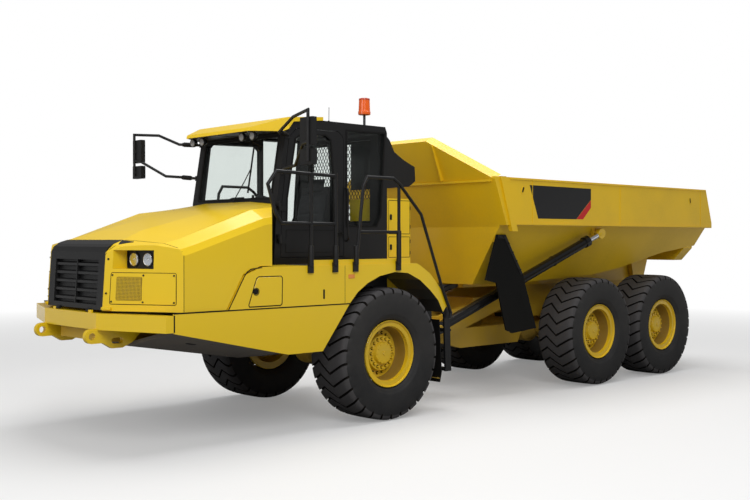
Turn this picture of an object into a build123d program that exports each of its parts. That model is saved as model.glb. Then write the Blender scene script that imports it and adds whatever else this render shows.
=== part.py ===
from build123d import *

import os
from math import atan2, cos, degrees, hypot, pi, radians, sin

os.makedirs("parts", exist_ok=True)

# Six-wheel articulated dump truck, parked straight with its bed down.
# Millimetres, +X forward, +Y to the driver's left, +Z up, origin on the ground under mid length.

# Stance
front_reach = 3400.0
front_to_middle = 4200.0
middle_to_rear = 1700.0
tail_reach = 1390.0
wheel_track = 2275.0
front_axle_x = (front_to_middle + middle_to_rear + tail_reach - front_reach) / 2
middle_axle_x = front_axle_x - front_to_middle
rear_axle_x = middle_axle_x - middle_to_rear
nose_x = front_axle_x + front_reach
tail_x = rear_axle_x - tail_reach

# Clearances
seat_gap = 0.3
running_gap = 0.8
panel_gap = 6.0

# Wheels
tyre_radius = 770.0
tyre_width = 600.0
tread_width = 560.0
groove_count = 30
groove_width = 34.0
groove_depth = 34.0
bead_radius = 400.0
rim_seat_radius = 318.0
rim_flange_radius = 388.0
rim_width = 500.0
rim_flange_thickness = 24.0
rim_wall = 16.0
rim_disc_offset = 20.0
rim_disc_thickness = 26.0
hub_radius = 205.0
hub_cap_radius = 132.0
hub_cap_reach = 165.0
hub_depth = 120.0
spindle_radius = 72.0
wheel_y = wheel_track / 2
axle_z = tyre_radius

# Machine width
body_half_width = 1450.0
fender_half_width = 1400.0
hood_inset = 16.0
hood_half_width = fender_half_width - hood_inset

# Bumper and tow eyes
bumper_face_x = nose_x - 120.0
bumper_corner_x = bumper_face_x - 290.0
bumper_flat_half = 570.0
bumper_bottom_z = 1195.0
bumper_top_z = 1360.0
bumper_depth = 110.0
tow_eye_y = 550.0
tow_eye_z = 1130.0
tow_eye_radius = 72.0
tow_eye_hole = 36.0
tow_plate_thickness = 60.0

# Frames
rail_y = 420.0
rail_thickness = 60.0
front_rail_bottom_z = 960.0
front_rail_top_z = 1180.0
front_rail_front_x = bumper_face_x - bumper_depth - seat_gap
hitch_x = front_axle_x - 1350.0
hitch_z = 885.0
hitch_pin_radius = 60.0
hitch_boss_radius = 130.0
hitch_top_z = 1130.0
hitch_bottom_z = 640.0
hitch_plate_thickness = 70.0
trunnion_radius = 120.0
trunnion_length = 420.0
front_rail_rear_x = hitch_x + 330.0

# Hood
hood_bottom_z = 1385.0
hood_nose_x = bumper_face_x - 50.0
hood_corner_x = nose_x - 620.0
hood_nose_half = 610.0
hood_rear_centre_x = front_axle_x + 1310.0
hood_rear_side_x = front_axle_x + 1715.0
hood_skin = 35.0
nose_lean = 0.07

# Cab
cab_front_x = front_axle_x + 1270.0
cab_rear_x = front_axle_x - 470.0
cab_half_width = 845.0
cab_top_z = 3470.0
cab_wall = 60.0

# Fender decks
deck_z = 1800.0
deck_thickness = 40.0
skirt_thickness = 30.0

# Bed
bed_top_z = 2900.0
bed_rail_bottom_z = 2280.0
bed_floor_front_z = 1490.0
bed_floor_half = 800.0
bed_slope_half = 1330.0
bed_plate = 28.0
bed_rail_width = 90.0
bed_front_x = front_axle_x - 2100.0
tip_x = front_axle_x - 6550.0
tip_z = 1380.0

# Hoist cylinders
hoist_foot = (hitch_x - 100.0, 800.0, 950.0)
hoist_pin = (front_axle_x - 4220.0, body_half_width - 70.0, bed_rail_bottom_z - 100.0)
hoist_barrel_radius = 68.0
hoist_rod_radius = 42.0
hoist_eye_radius = 80.0


def mirrored_half(half):
    """Closed left-right symmetric outline from its left half, bottom to top."""
    return list(half) + [(-y, z) for y, z in reversed(half)]


def ahead(points):
    """Side-view points given from the front axle, moved into the machine's frame."""
    return [(front_axle_x + x, z) for x, z in points]


# Tyres, one form, then six copies: a band of lugs with a groove between each two, flat-sided walls
half_tyre = tyre_width / 2
lug_half = tread_width / 2 - 30.0
shoulder_radius = tyre_radius - groove_depth - 4.0
wall_radius = 600.0
bead_half = rim_width / 2 - rim_flange_thickness - seat_gap


def notched_ring():
    """Outline of the band of lugs: a circle of flats with a notch for each groove."""
    half_turn = groove_width / 2 / tyre_radius
    ring = []
    for groove in range(groove_count):
        middle = 2 * pi * groove / groove_count
        for turn, reach in (
            (-half_turn, tyre_radius),
            (0.0, tyre_radius - groove_depth),
            (half_turn, tyre_radius),
        ):
            ring.append((reach * cos(middle + turn), reach * sin(middle + turn)))
    return ring


with BuildPart() as tyre_form:
    with BuildSketch(Plane.XZ.offset(-half_tyre)):
        RegularPolygon(radius=shoulder_radius, side_count=groove_count)
    extrude(amount=tyre_width)
    side_faces = tyre_form.faces().sort_by(Axis.Y)
    shoulder_edges = side_faces[0].edges() + side_faces[-1].edges()
    chamfer(shoulder_edges, length=half_tyre - lug_half, length2=shoulder_radius - wall_radius)
    with BuildSketch(Plane.XZ.offset(-lug_half)):
        Polygon(*notched_ring(), align=None)
    extrude(amount=2 * lug_half)
    for bead_side in (1, -1):
        bead_plane = Plane(origin=(0, bead_side * half_tyre, 0), x_dir=(1, 0, 0), z_dir=(0, bead_side, 0))
        with BuildSketch(bead_plane):
            RegularPolygon(radius=bead_radius, side_count=groove_count)
        extrude(amount=-(half_tyre - bead_half), mode=Mode.SUBTRACT)
    with BuildSketch(Plane.XZ.offset(-half_tyre)):
        RegularPolygon(radius=rim_seat_radius + seat_gap, side_count=12, major_radius=False)
    extrude(amount=tyre_width, mode=Mode.SUBTRACT)

# Rim with its hub, outward face towards +Y
half_rim = rim_width / 2
with BuildPart() as rim_form:
    with BuildSketch(Plane.XY):
        Polygon(
            (spindle_radius + running_gap, -hub_depth),
            (hub_radius, -hub_depth),
            (hub_radius, rim_disc_offset),
            (rim_seat_radius - rim_wall, rim_disc_offset),
            (rim_seat_radius - rim_wall, -half_rim),
            (rim_flange_radius, -half_rim),
            (rim_flange_radius, -half_rim + rim_flange_thickness),
            (rim_seat_radius, -half_rim + rim_flange_thickness),
            (rim_seat_radius, half_rim - rim_flange_thickness),
            (rim_flange_radius, half_rim - rim_flange_thickness),
            (rim_flange_radius, half_rim),
            (rim_seat_radius - rim_wall, half_rim),
            (rim_seat_radius - rim_wall, rim_disc_offset + rim_disc_thickness),
            (hub_radius, rim_disc_offset + rim_disc_thickness),
            (hub_radius, hub_cap_reach - 60.0),
            (hub_cap_radius, hub_cap_reach - 60.0),
            (hub_cap_radius, hub_cap_reach),
            (0, hub_cap_reach),
            (0, hub_cap_reach - 30.0),
            (spindle_radius + running_gap, hub_cap_reach - 30.0),
            align=None,
        )
    revolve(axis=Axis.Y)

wheel_stations = (
    # name, axle, side
    ("front_left", front_axle_x, 1),
    ("front_right", front_axle_x, -1),
    ("middle_left", middle_axle_x, 1),
    ("middle_right", middle_axle_x, -1),
    ("rear_left", rear_axle_x, 1),
    ("rear_right", rear_axle_x, -1),
)
right_tyre = mirror(tyre_form.part, about=Plane.XZ)
right_rim = mirror(rim_form.part, about=Plane.XZ)
for wheel_name, axle_x, side in wheel_stations:
    wheel_place = Location((axle_x, side * wheel_y, axle_z))
    with BuildPart() as tyre:
        add((tyre_form.part if side > 0 else right_tyre).moved(wheel_place))
    tyre.part.label = f"tyre_{wheel_name}"
    export_step(tyre.part, f"parts/tyre_{wheel_name}.step")
    with BuildPart() as rim:
        add((rim_form.part if side > 0 else right_rim).moved(wheel_place))
    rim.part.label = f"rim_{wheel_name}"
    export_step(rim.part, f"parts/rim_{wheel_name}.step")

# Axles: a housing with its differential bulge, tubes and the spindles that carry the hubs
axle_tube_radius = 110.0
axle_tube_end = wheel_y - hub_depth - running_gap
axle_bulge_radius = 230.0
axle_bulge_half = 190.0
spindle_end = wheel_y + hub_cap_reach - 30.0 - running_gap
axle_outline = (
    # along the axle, radius
    (0, 0),
    (0, axle_bulge_radius),
    (axle_bulge_half * 0.6, axle_bulge_radius),
    (axle_bulge_half * 1.5, axle_tube_radius),
    (axle_tube_end - 60.0, axle_tube_radius),
    (axle_tube_end - 60.0, axle_tube_radius + 55.0),
    (axle_tube_end, axle_tube_radius + 55.0),
    (axle_tube_end, spindle_radius),
    (spindle_end, spindle_radius),
    (spindle_end, 0),
)
for axle_name, axle_x in (("front", front_axle_x), ("middle", middle_axle_x), ("rear", rear_axle_x)):
    with BuildPart() as axle:
        with BuildSketch(Plane(origin=(axle_x, 0, axle_z), x_dir=(0, 1, 0), z_dir=(1, 0, 0))):
            Polygon(*axle_outline, align=None)
        revolve(axis=Axis((axle_x, 0, axle_z), (0, 1, 0)))
        mirror(about=Plane.XZ)
    axle.part.label = f"{axle_name}_axle"
    export_step(axle.part, f"parts/{axle_name}_axle.step")

# Where the steering cylinders are pinned
steer_foot_x = front_axle_x - 200.0
steer_foot_y = 550.0
steer_pin_radius = 25.0
steer_z = 780.0
yoke_arm_y = 470.0
yoke_arm_x = hitch_x - 100.0

# Front frame: two rails, cross members, axle saddles, hitch plates with the steering pin
with BuildPart() as front_frame:
    rail_profile = [
        (front_rail_rear_x, front_rail_bottom_z),
        (front_rail_rear_x, hitch_top_z + hitch_plate_thickness),
        (front_axle_x - 900.0, 1330.0),
        (front_axle_x + 1100.0, 1330.0),
        (front_axle_x + 1300.0, front_rail_top_z),
        (front_rail_front_x - 90.0, front_rail_top_z),
        (front_rail_front_x - 90.0, bumper_top_z - 20.0),
        (front_rail_front_x, bumper_top_z - 20.0),
        (front_rail_front_x, 1060.0),
        (front_axle_x + 1800.0, front_rail_bottom_z),
    ]
    with BuildSketch(Plane.XZ.offset(-rail_y)):
        Polygon(*rail_profile, align=None)
    extrude(amount=rail_thickness)
    mirror(about=Plane.XZ)
    with Locations(
        (front_rail_front_x - 60.0, 0, 1120.0),
        (front_axle_x + 1900.0, 0, 1080.0),
        (front_axle_x + 600.0, 0, 1250.0),
        (front_rail_rear_x + 60.0, 0, 1080.0),
    ):
        Box(120.0, 2 * rail_y, 110.0)
    saddle_bottom_z = axle_z + axle_tube_radius + seat_gap
    for saddle_y in (-rail_y + rail_thickness / 2, rail_y - rail_thickness / 2):
        with Locations((front_axle_x, saddle_y, saddle_bottom_z)):
            Box(
                260.0,
                rail_thickness,
                front_rail_bottom_z - saddle_bottom_z + 5.0,
                align=(Align.CENTER, Align.CENTER, Align.MIN),
            )
    for clevis_side in (-1, 1):
        with Locations((steer_foot_x, clevis_side * (rail_y - rail_thickness / 2), steer_z - 62.0)):
            Box(
                110.0,
                rail_thickness,
                front_rail_bottom_z - steer_z + 67.0,
                align=(Align.CENTER, Align.CENTER, Align.MIN),
            )
        for clevis_z in (steer_z - 31.0 - 30.0, steer_z + 31.0):
            with Locations((steer_foot_x + 20.0, clevis_side * (rail_y + 90.0), clevis_z)):
                Box(90.0, 180.0, 30.0, align=(Align.CENTER, Align.CENTER, Align.MIN))
        with Locations((steer_foot_x, clevis_side * steer_foot_y, steer_z)):
            Cylinder(steer_pin_radius, 120.0)
    for plate_z in (hitch_top_z, hitch_bottom_z - hitch_plate_thickness):
        with BuildSketch(Plane.XY.offset(plate_z)):
            Polygon(
                (front_rail_rear_x + 60.0, rail_y - 20.0),
                (hitch_x, hitch_boss_radius),
                (hitch_x, -hitch_boss_radius),
                (front_rail_rear_x + 60.0, -rail_y + 20.0),
                align=None,
            )
            with Locations((hitch_x, 0)):
                Circle(radius=hitch_boss_radius)
        extrude(amount=hitch_plate_thickness)
    with Locations((front_rail_rear_x + 60.0, 0, (front_rail_bottom_z + hitch_bottom_z) / 2)):
        Box(60.0, 2 * rail_y - 40.0, front_rail_bottom_z - hitch_bottom_z + 2 * hitch_plate_thickness)
    with Locations((hitch_x, 0, (hitch_top_z + hitch_bottom_z) / 2)):
        Cylinder(hitch_pin_radius, hitch_top_z - hitch_bottom_z + 2 * hitch_plate_thickness)
front_frame.part.label = "front_frame"
export_step(front_frame.part, "parts/front_frame.step")

# Hitch yoke: a boss on the steering pin and the trunnion that the rear frame turns on
with BuildPart() as hitch_yoke:
    boss_height = hitch_top_z - hitch_bottom_z - 2 * running_gap
    with Locations((hitch_x, 0, (hitch_top_z + hitch_bottom_z) / 2)):
        Cylinder(hitch_boss_radius, boss_height)
    with Locations((hitch_x - trunnion_length / 2, 0, hitch_z)):
        Cylinder(trunnion_radius, trunnion_length, rotation=(0, 90, 0))
    with BuildSketch(Plane.XY.offset(steer_z + 40.0)):
        Polygon(
            (hitch_x + 40.0, 100.0),
            (yoke_arm_x + 50.0, yoke_arm_y + 60.0),
            (yoke_arm_x - 50.0, yoke_arm_y + 60.0),
            (hitch_x - 110.0, 60.0),
            (hitch_x - 110.0, -60.0),
            (yoke_arm_x - 50.0, -yoke_arm_y - 60.0),
            (yoke_arm_x + 50.0, -yoke_arm_y - 60.0),
            (hitch_x + 40.0, -100.0),
            align=None,
        )
    extrude(amount=50.0)
    with Locations((hitch_x, 0, (hitch_top_z + hitch_bottom_z) / 2)):
        Cylinder(hitch_pin_radius + running_gap, boss_height + 10.0, mode=Mode.SUBTRACT)
hitch_yoke.part.label = "hitch_yoke"
export_step(hitch_yoke.part, "parts/hitch_yoke.step")

# Steering cylinders, left and right
steer_barrel_radius = 52.0
steer_rod_radius = 28.0
steer_eye_radius = 52.0
for side_name, side in (("left", 1), ("right", -1)):
    foot = (steer_foot_x, side * steer_foot_y)
    pin = (yoke_arm_x, side * yoke_arm_y)
    closed = hypot(pin[0] - foot[0], pin[1] - foot[1])
    turn = degrees(atan2(pin[1] - foot[1], pin[0] - foot[0]))
    steer_plane = Plane(
        origin=(foot[0], foot[1], steer_z),
        x_dir=(cos(radians(turn)), sin(radians(turn)), 0),
        z_dir=(0, 0, 1),
    )
    barrel_start = 66.0
    barrel_end = 850.0
    with BuildPart(steer_plane) as steer_barrel:
        Cylinder(steer_eye_radius, 60.0)
        with Locations((50.0, 0, 0)):
            Box(60.0, 70.0, 58.0)
        with Locations(((barrel_start + barrel_end) / 2, 0, 0)):
            Cylinder(steer_barrel_radius, barrel_end - barrel_start, rotation=(0, 90, 0))
        with Locations((barrel_end / 2 + 50.0, 0, 0)):
            Cylinder(
                steer_rod_radius + running_gap,
                barrel_end - 80.0,
                rotation=(0, 90, 0),
                mode=Mode.SUBTRACT,
            )
        Cylinder(steer_pin_radius + running_gap, 80.0, mode=Mode.SUBTRACT)
    steer_barrel.part.label = f"steer_barrel_{side_name}"
    export_step(steer_barrel.part, f"parts/steer_barrel_{side_name}.step")
    rod_start = 445.0
    with BuildPart(steer_plane) as steer_rod:
        with Locations(((rod_start + closed) / 2, 0, 0)):
            Cylinder(steer_rod_radius, closed - rod_start, rotation=(0, 90, 0))
        with Locations((closed, 0, 5.0)):
            Cylinder(steer_eye_radius, 69.0)
    steer_rod.part.label = f"steer_rod_{side_name}"
    export_step(steer_rod.part, f"parts/steer_rod_{side_name}.step")

# Rear frame: bearing for the trunnion, upper and lower rails, tail ears for the bed
rear_rail_y = 450.0
frame_top_z = 1430.0
outrigger_z = 950.0
tip_ear_y = 500.0
tip_pin_radius = 45.0
beam_y = 560.0
beam_thickness = 110.0
beam_pivot_x = (middle_axle_x + rear_axle_x) / 2
beam_pivot_z = 1090.0

# Hoist cylinders stand in tilted planes, x along the stroke, z along the pins
hoist_pin_radius = 30.0
hoist_ball_radius = 52.0
hoist_run = Vector(*hoist_pin) - Vector(*hoist_foot)
hoist_closed = hoist_run.length
hoist_planes = {}
for side in (1, -1):
    run = Vector(hoist_run.X, side * hoist_run.Y, hoist_run.Z).normalized()
    hoist_planes[side] = Plane(
        origin=(hoist_foot[0], side * hoist_foot[1], hoist_foot[2]),
        x_dir=run,
        z_dir=Vector(0, 1, 0) - run * run.Y,
    )
bearing_front_x = hitch_x - 190.0
with BuildPart() as rear_frame:
    with BuildSketch(Plane.XZ.offset(-rear_rail_y)):
        Polygon(
            *ahead(
                [
                    (-1850.0, 700.0),
                    (-2250.0, 600.0),
                    (-3500.0, 600.0),
                    (-3700.0, 960.0),
                    (-6500.0, 960.0),
                    (-6720.0, 1250.0),
                    (-6720.0, 1330.0),
                    (-6400.0, frame_top_z),
                    (-3400.0, frame_top_z),
                    (-1850.0, 1050.0),
                ]
            ),
            align=None,
        )
        Polygon(
            *ahead([(-2350.0, 870.0), (-3300.0, 870.0), (-3300.0, 1130.0), (-3000.0, 1060.0)]),
            align=None,
            mode=Mode.SUBTRACT,
        )
    extrude(amount=90.0)
    mirror(about=Plane.XZ)
    with BuildSketch(Plane.YZ.offset(bearing_front_x - 120.0)):
        bearing_half = [(200.0, 640.0), (370.0, 700.0), (370.0, 1050.0), (220.0, 1120.0)]
        Polygon(*mirrored_half(bearing_half), align=None)
    extrude(amount=120.0)
    with BuildSketch(Plane.XY.offset(outrigger_z - 60.0)):
        for arm_side in (-1, 1):
            Polygon(
                (hitch_x - 320.0, arm_side * (rear_rail_y - 20.0)),
                (hitch_x - 700.0, arm_side * (rear_rail_y - 20.0)),
                (hitch_x - 240.0, arm_side * 742.0),
                (hitch_x - 100.0, arm_side * 742.0),
                (hitch_x - 100.0, arm_side * 690.0),
                (hitch_x - 170.0, arm_side * 690.0),
                align=None,
            )
    extrude(amount=120.0)
    for foot_side in (-1, 1):
        with BuildPart(hoist_planes[foot_side], mode=Mode.PRIVATE) as foot_ear:
            with Locations((0, 0, foot_side * -73.0)):
                Cylinder(84.0, 52.0)
            with Locations((0, 0, foot_side * -20.0)):
                Cylinder(hoist_pin_radius, 150.0)
            Sphere(hoist_ball_radius)
        add(foot_ear.part)
    for boss_side in (-1, 1):
        with Locations((tip_x, boss_side * (rear_rail_y - 45.0), tip_z)):
            Cylinder(88.0, 90.0, rotation=(90, 0, 0))
    with Locations((tip_x, 0, tip_z)):
        Cylinder(tip_pin_radius, 2 * tip_ear_y + 90.0, rotation=(90, 0, 0))
    with Locations((beam_pivot_x, 0, beam_pivot_z)):
        Cylinder(70.0, 2 * (beam_y - beam_thickness / 2 + seat_gap), rotation=(90, 0, 0))
    for cross_x in (-2600.0, -5050.0, -6300.0):
        with Locations((front_axle_x + cross_x, 0, 1180.0)):
            Box(160.0, 2 * rear_rail_y - 20.0, 200.0)
    with BuildSketch(Plane.XZ.offset(-rear_rail_y)):
        Polygon(
            (bearing_front_x - 120.0, 700.0),
            (front_axle_x - 1900.0, 690.0),
            (front_axle_x - 1900.0, 1060.0),
            (bearing_front_x - 120.0, 1050.0),
            align=None,
        )
    extrude(amount=90.0)
    with BuildSketch(Plane.XZ.offset(rear_rail_y)):
        Polygon(
            (bearing_front_x - 120.0, 700.0),
            (front_axle_x - 1900.0, 690.0),
            (front_axle_x - 1900.0, 1060.0),
            (bearing_front_x - 120.0, 1050.0),
            align=None,
        )
    extrude(amount=-90.0)
    with Locations((hitch_x - trunnion_length / 2, 0, hitch_z)):
        Cylinder(
            trunnion_radius + running_gap,
            trunnion_length + 2 * running_gap,
            rotation=(0, 90, 0),
            mode=Mode.SUBTRACT,
        )
rear_frame.part.label = "rear_frame"
export_step(rear_frame.part, "parts/rear_frame.step")

# Walking beams between the two rear axles, one a side
with BuildPart() as walking_beams:
    with BuildSketch(Plane.XZ.offset(-beam_y - beam_thickness / 2)):
        Polygon(
            (middle_axle_x + 170.0, axle_z - 150.0),
            (middle_axle_x + 170.0, axle_z - axle_tube_radius - 0.3),
            (rear_axle_x - 170.0, axle_z - axle_tube_radius - 0.3),
            (rear_axle_x - 170.0, axle_z - 150.0),
            (beam_pivot_x - 200.0, axle_z - 260.0),
            (beam_pivot_x + 200.0, axle_z - 260.0),
            align=None,
        )
        Polygon(
            (beam_pivot_x + 240.0, axle_z - axle_tube_radius - 1.0),
            (beam_pivot_x + 110.0, beam_pivot_z + 90.0),
            (beam_pivot_x - 110.0, beam_pivot_z + 90.0),
            (beam_pivot_x - 240.0, axle_z - axle_tube_radius - 1.0),
            align=None,
        )
    extrude(amount=beam_thickness - 2 * seat_gap)
    mirror(about=Plane.XZ)
walking_beams.part.label = "walking_beams"
export_step(walking_beams.part, "parts/walking_beams.step")

# Hood hinge, in the gap above the bumper
hood_hinge_x = hood_nose_x + 15.0
hood_hinge_z = bumper_top_z + 14.5
hinge_radius = 12.0
hinge_knuckle = 60.0

# Bumper with its two tow plates
with BuildPart() as front_bumper:
    with BuildSketch(Plane.XY.offset(bumper_bottom_z)):
        Polygon(
            (bumper_face_x, bumper_flat_half),
            (bumper_corner_x, fender_half_width),
            (bumper_corner_x - 90.0, fender_half_width),
            (bumper_corner_x - 90.0, fender_half_width - 110.0),
            (bumper_face_x - bumper_depth, bumper_flat_half - 40.0),
            (bumper_face_x - bumper_depth, -bumper_flat_half + 40.0),
            (bumper_corner_x - 90.0, -fender_half_width + 110.0),
            (bumper_corner_x - 90.0, -fender_half_width),
            (bumper_corner_x, -fender_half_width),
            (bumper_face_x, -bumper_flat_half),
            align=None,
        )
    extrude(amount=bumper_top_z - bumper_bottom_z)
    with BuildSketch(Plane.XZ.offset(-tow_eye_y - tow_plate_thickness / 2)):
        Polygon(
            (nose_x - tow_eye_radius, tow_eye_z + tow_eye_radius),
            (bumper_face_x - 30.0, bumper_bottom_z + 10.0),
            (bumper_face_x - 560.0, bumper_bottom_z + 10.0),
            (bumper_face_x - 400.0, 1050.0),
            (bumper_face_x - 290.0, 1000.0),
            (bumper_face_x - 170.0, 1000.0),
            (bumper_face_x - 70.0, 1060.0),
            (nose_x - tow_eye_radius, tow_eye_z - tow_eye_radius),
            align=None,
        )
        with Locations((nose_x - tow_eye_radius, tow_eye_z)):
            Circle(radius=tow_eye_radius)
            Circle(radius=tow_eye_hole, mode=Mode.SUBTRACT)
        with Locations((bumper_face_x - 230.0, 1075.0)):
            SlotOverall(130.0, 60.0, mode=Mode.SUBTRACT)
    extrude(amount=tow_plate_thickness)
    with Locations((hood_hinge_x, 360.0 + hinge_knuckle / 2 + seat_gap, hood_hinge_z)):
        Cylinder(hinge_radius, hinge_knuckle, rotation=(90, 0, 0))
    with Locations((hood_hinge_x, 360.0 + hinge_knuckle / 2 + seat_gap, hood_hinge_z - 10.0)):
        Box(2 * hinge_radius, hinge_knuckle, 20.0)
    mirror(about=Plane.XZ)
front_bumper.part.label = "front_bumper"
export_step(front_bumper.part, "parts/front_bumper.step")

# Belly guard: one bent plate under the engine, higher at its edges
guard_plate = 40.0
guard_front_x = bumper_corner_x - 130.0
guard_rail_z = front_rail_bottom_z + 100.0 * (guard_front_x - front_axle_x - 1800.0) / (
    front_rail_front_x - front_axle_x - 1800.0
)
guard_sections = (
    # x, edge height, middle height
    (guard_front_x, 1195.0, guard_rail_z - guard_plate - seat_gap),
    (front_axle_x + 1510.0, 900.0, 770.0),
    (front_axle_x + 1040.0, 900.0, 760.0),
)
guard_edge_y = fender_half_width - skirt_thickness - seat_gap
with BuildPart() as belly_guard:
    for section_x, edge_z, middle_z in guard_sections:
        with BuildSketch(Plane.YZ.offset(section_x)):
            Polygon(
                (-guard_edge_y, edge_z),
                (-480.0, middle_z),
                (480.0, middle_z),
                (guard_edge_y, edge_z),
                (guard_edge_y, edge_z + guard_plate),
                (480.0, middle_z + guard_plate),
                (-480.0, middle_z + guard_plate),
                (-guard_edge_y, edge_z + guard_plate),
                align=None,
            )
    loft(ruled=True)
belly_guard.part.label = "belly_guard"
export_step(belly_guard.part, "parts/belly_guard.step")

# Side skirts below the hood line
seam_z = hood_bottom_z - 8.0
with BuildPart() as side_skirts:
    with BuildSketch(Plane.XZ.offset(-fender_half_width)):
        Polygon(
            (bumper_corner_x - 96.0, seam_z),
            *ahead([(640.0, seam_z), (1030.0, 880.0), (1510.0, 880.0)]),
            (nose_x - 790.0, 1120.0),
            (bumper_corner_x - 96.0, 1185.0),
            align=None,
        )
    extrude(amount=skirt_thickness)
    mirror(about=Plane.XZ)
side_skirts.part.label = "side_skirts"
export_step(side_skirts.part, "parts/side_skirts.step")

# Front fenders: skin, walkway deck and the arch that follows the wheel
fender_inner_y = cab_half_width + seat_gap
fender_nose_x = nose_x - 1130.0
fender_outline = [
    (fender_nose_x, hood_bottom_z),
    (fender_nose_x - 200.0, deck_z - 70.0),
    (fender_nose_x - 420.0, deck_z + 12.0),
] + ahead(
    [
        (-430.0, deck_z + 12.0),
        (-480.0, 1790.0),
        (-650.0, 1690.0),
        (-770.0, 1575.0),
        (-880.0, 1450.0),
        (-954.0, 1295.0),
        (-883.0, 1213.0),
        (-794.0, 1363.0),
        (-654.0, 1489.0),
        (-482.0, 1614.0),
        (-280.0, 1701.0),
        (-66.0, 1718.0),
        (174.0, 1677.0),
        (361.0, 1603.0),
        (514.0, 1506.0),
        (634.0, hood_bottom_z),
    ]
)
fender_pocket = [
    (fender_nose_x - 80.0, hood_bottom_z + 55.0),
    (fender_nose_x - 260.0, deck_z - 90.0),
    (fender_nose_x - 430.0, deck_z - 30.0),
] + ahead([(120.0, deck_z - 30.0), (500.0, deck_z - 170.0), (700.0, hood_bottom_z + 55.0)])
with BuildPart() as front_fenders:
    with BuildSketch(Plane.XZ.offset(-fender_half_width)):
        Polygon(*fender_outline, align=None)
    extrude(amount=fender_half_width - fender_inner_y)
    with BuildSketch(Plane.XZ.offset(-fender_half_width + skirt_thickness)):
        Polygon(*fender_pocket, align=None)
    extrude(amount=fender_half_width - fender_inner_y, mode=Mode.SUBTRACT)
    with Locations((front_axle_x + 420.0, fender_half_width - 40.0, deck_z + 42.0)):
        Box(1500.0, 50.0, 60.0)
    mirror(about=Plane.XZ)
front_fenders.part.label = "front_fenders"
export_step(front_fenders.part, "parts/front_fenders.step")

# Engine as one block on the rails
engine_rear_x = cab_front_x + 55.0
engine_front_x = nose_x - 825.0
with BuildPart() as engine:
    with Locations(((engine_rear_x + engine_front_x) / 2, 0, front_rail_top_z + seat_gap)):
        Box(engine_front_x - engine_rear_x, 820.0, 640.0, align=(Align.CENTER, Align.CENTER, Align.MIN))
engine.part.label = "engine"
export_step(engine.part, "parts/engine.step")

# Hood: a tapering tunnel with a raked nose, skinned, open underneath and behind
hood_sections = (
    # x, crease height, shoulder half width, shoulder height, crown half width, crown height
    (front_axle_x + 1200.0, 2385.0, 1150.0, 2480.0, 450.0, 2545.0),
    (front_axle_x + 1800.0, 2315.0, 1150.0, 2410.0, 450.0, 2420.0),
    (nose_x - 700.0, 2025.0, 1150.0, 2095.0, 450.0, 2190.0),
    (nose_x - 400.0, 1950.0, 1100.0, 2020.0, 600.0, 2090.0),
    (nose_x - 300.0, 1900.0, 1100.0, 1980.0, 600.0, 2050.0),
    (nose_x - 100.0, 1780.0, 1050.0, 1850.0, 600.0, 1862.0),
)
wedge_heights = (hood_bottom_z - 100.0, 2700.0)


def nose_wedge(inset):
    """Plan outline of the hood, whose nose leans back with height."""
    rear_shift = 300.0 if inset else 0.0
    with BuildPart() as wedge:
        for wedge_z in wedge_heights:
            nose = hood_nose_x - (wedge_z - hood_bottom_z) * nose_lean - inset
            with BuildSketch(Plane.XY.offset(wedge_z)):
                Polygon(
                    (hood_rear_centre_x - rear_shift, cab_half_width),
                    (hood_rear_side_x - rear_shift, hood_half_width + 10.0),
                    (hood_corner_x - 0.4 * inset, hood_half_width + 10.0),
                    (nose, hood_nose_half - 0.5 * inset),
                    (nose, -hood_nose_half + 0.5 * inset),
                    (hood_corner_x - 0.4 * inset, -hood_half_width - 10.0),
                    (hood_rear_side_x - rear_shift, -hood_half_width - 10.0),
                    (hood_rear_centre_x - rear_shift, -cab_half_width),
                    align=None,
                )
        loft(ruled=True)
    return wedge.part


def hood_form(inset):
    """Form of the hood with every face moved inwards by inset."""
    wedge = nose_wedge(inset)
    base_z = hood_bottom_z - (60.0 if inset else 0.0)
    with BuildPart() as form:
        for x, crease_z, shoulder_y, shoulder_z, crown_y, crown_z in hood_sections:
            half = [
                (hood_half_width - inset, base_z),
                (hood_half_width - inset, crease_z - 70.0 - 0.5 * inset),
                (hood_half_width - 32.0 - inset, crease_z - 0.7 * inset),
                (shoulder_y - 0.5 * inset, shoulder_z - inset),
                (crown_y, crown_z - inset),
            ]
            with BuildSketch(Plane.YZ.offset(x)):
                Polygon(*mirrored_half(half), align=None)
        loft(ruled=True)
        add(wedge, mode=Mode.INTERSECT)
    return form.part


hood_outer = hood_form(0.0)
hood_inner = hood_form(hood_skin)

# Headlamp pockets, cut into blocks that follow the hood's skin, their backs turned outwards a little
lamp_low_z = 1805.0
lamp_high_z = 1990.0
lamp_near_y = 685.0
lamp_far_y = 1095.0
lamp_near_x = nose_x - 460.0
lamp_far_x = nose_x - 535.0
lamp_depth = 50.0
pod_wall = 22.0
lamp_turn = hypot(lamp_near_x - lamp_far_x, lamp_far_y - lamp_near_y)
lamp_normal = ((lamp_far_y - lamp_near_y) / lamp_turn, (lamp_near_x - lamp_far_x) / lamp_turn, 0)


def lamp_plan(margin, reach):
    """Plan outline of a lamp space: its turned back, grown by margin, and its length forward."""
    return [
        (lamp_near_x + reach, lamp_near_y - margin),
        (lamp_near_x - margin, lamp_near_y - margin),
        (lamp_far_x - margin, lamp_far_y + margin),
        (lamp_far_x + reach, lamp_far_y + margin),
    ]


with BuildPart() as lamp_pods:
    with BuildSketch(Plane.XY.offset(lamp_low_z - pod_wall)):
        Polygon(*lamp_plan(pod_wall, 400.0), align=None)
    extrude(amount=lamp_high_z - lamp_low_z + 2 * pod_wall)
    mirror(about=Plane.XZ)
    add(hood_outer, mode=Mode.INTERSECT)

with BuildPart() as lamp_spaces:
    with BuildSketch(Plane.XY.offset(lamp_low_z)):
        Polygon(*lamp_plan(0.0, 500.0), align=None)
    extrude(amount=lamp_high_z - lamp_low_z)
    mirror(about=Plane.XZ)

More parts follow.
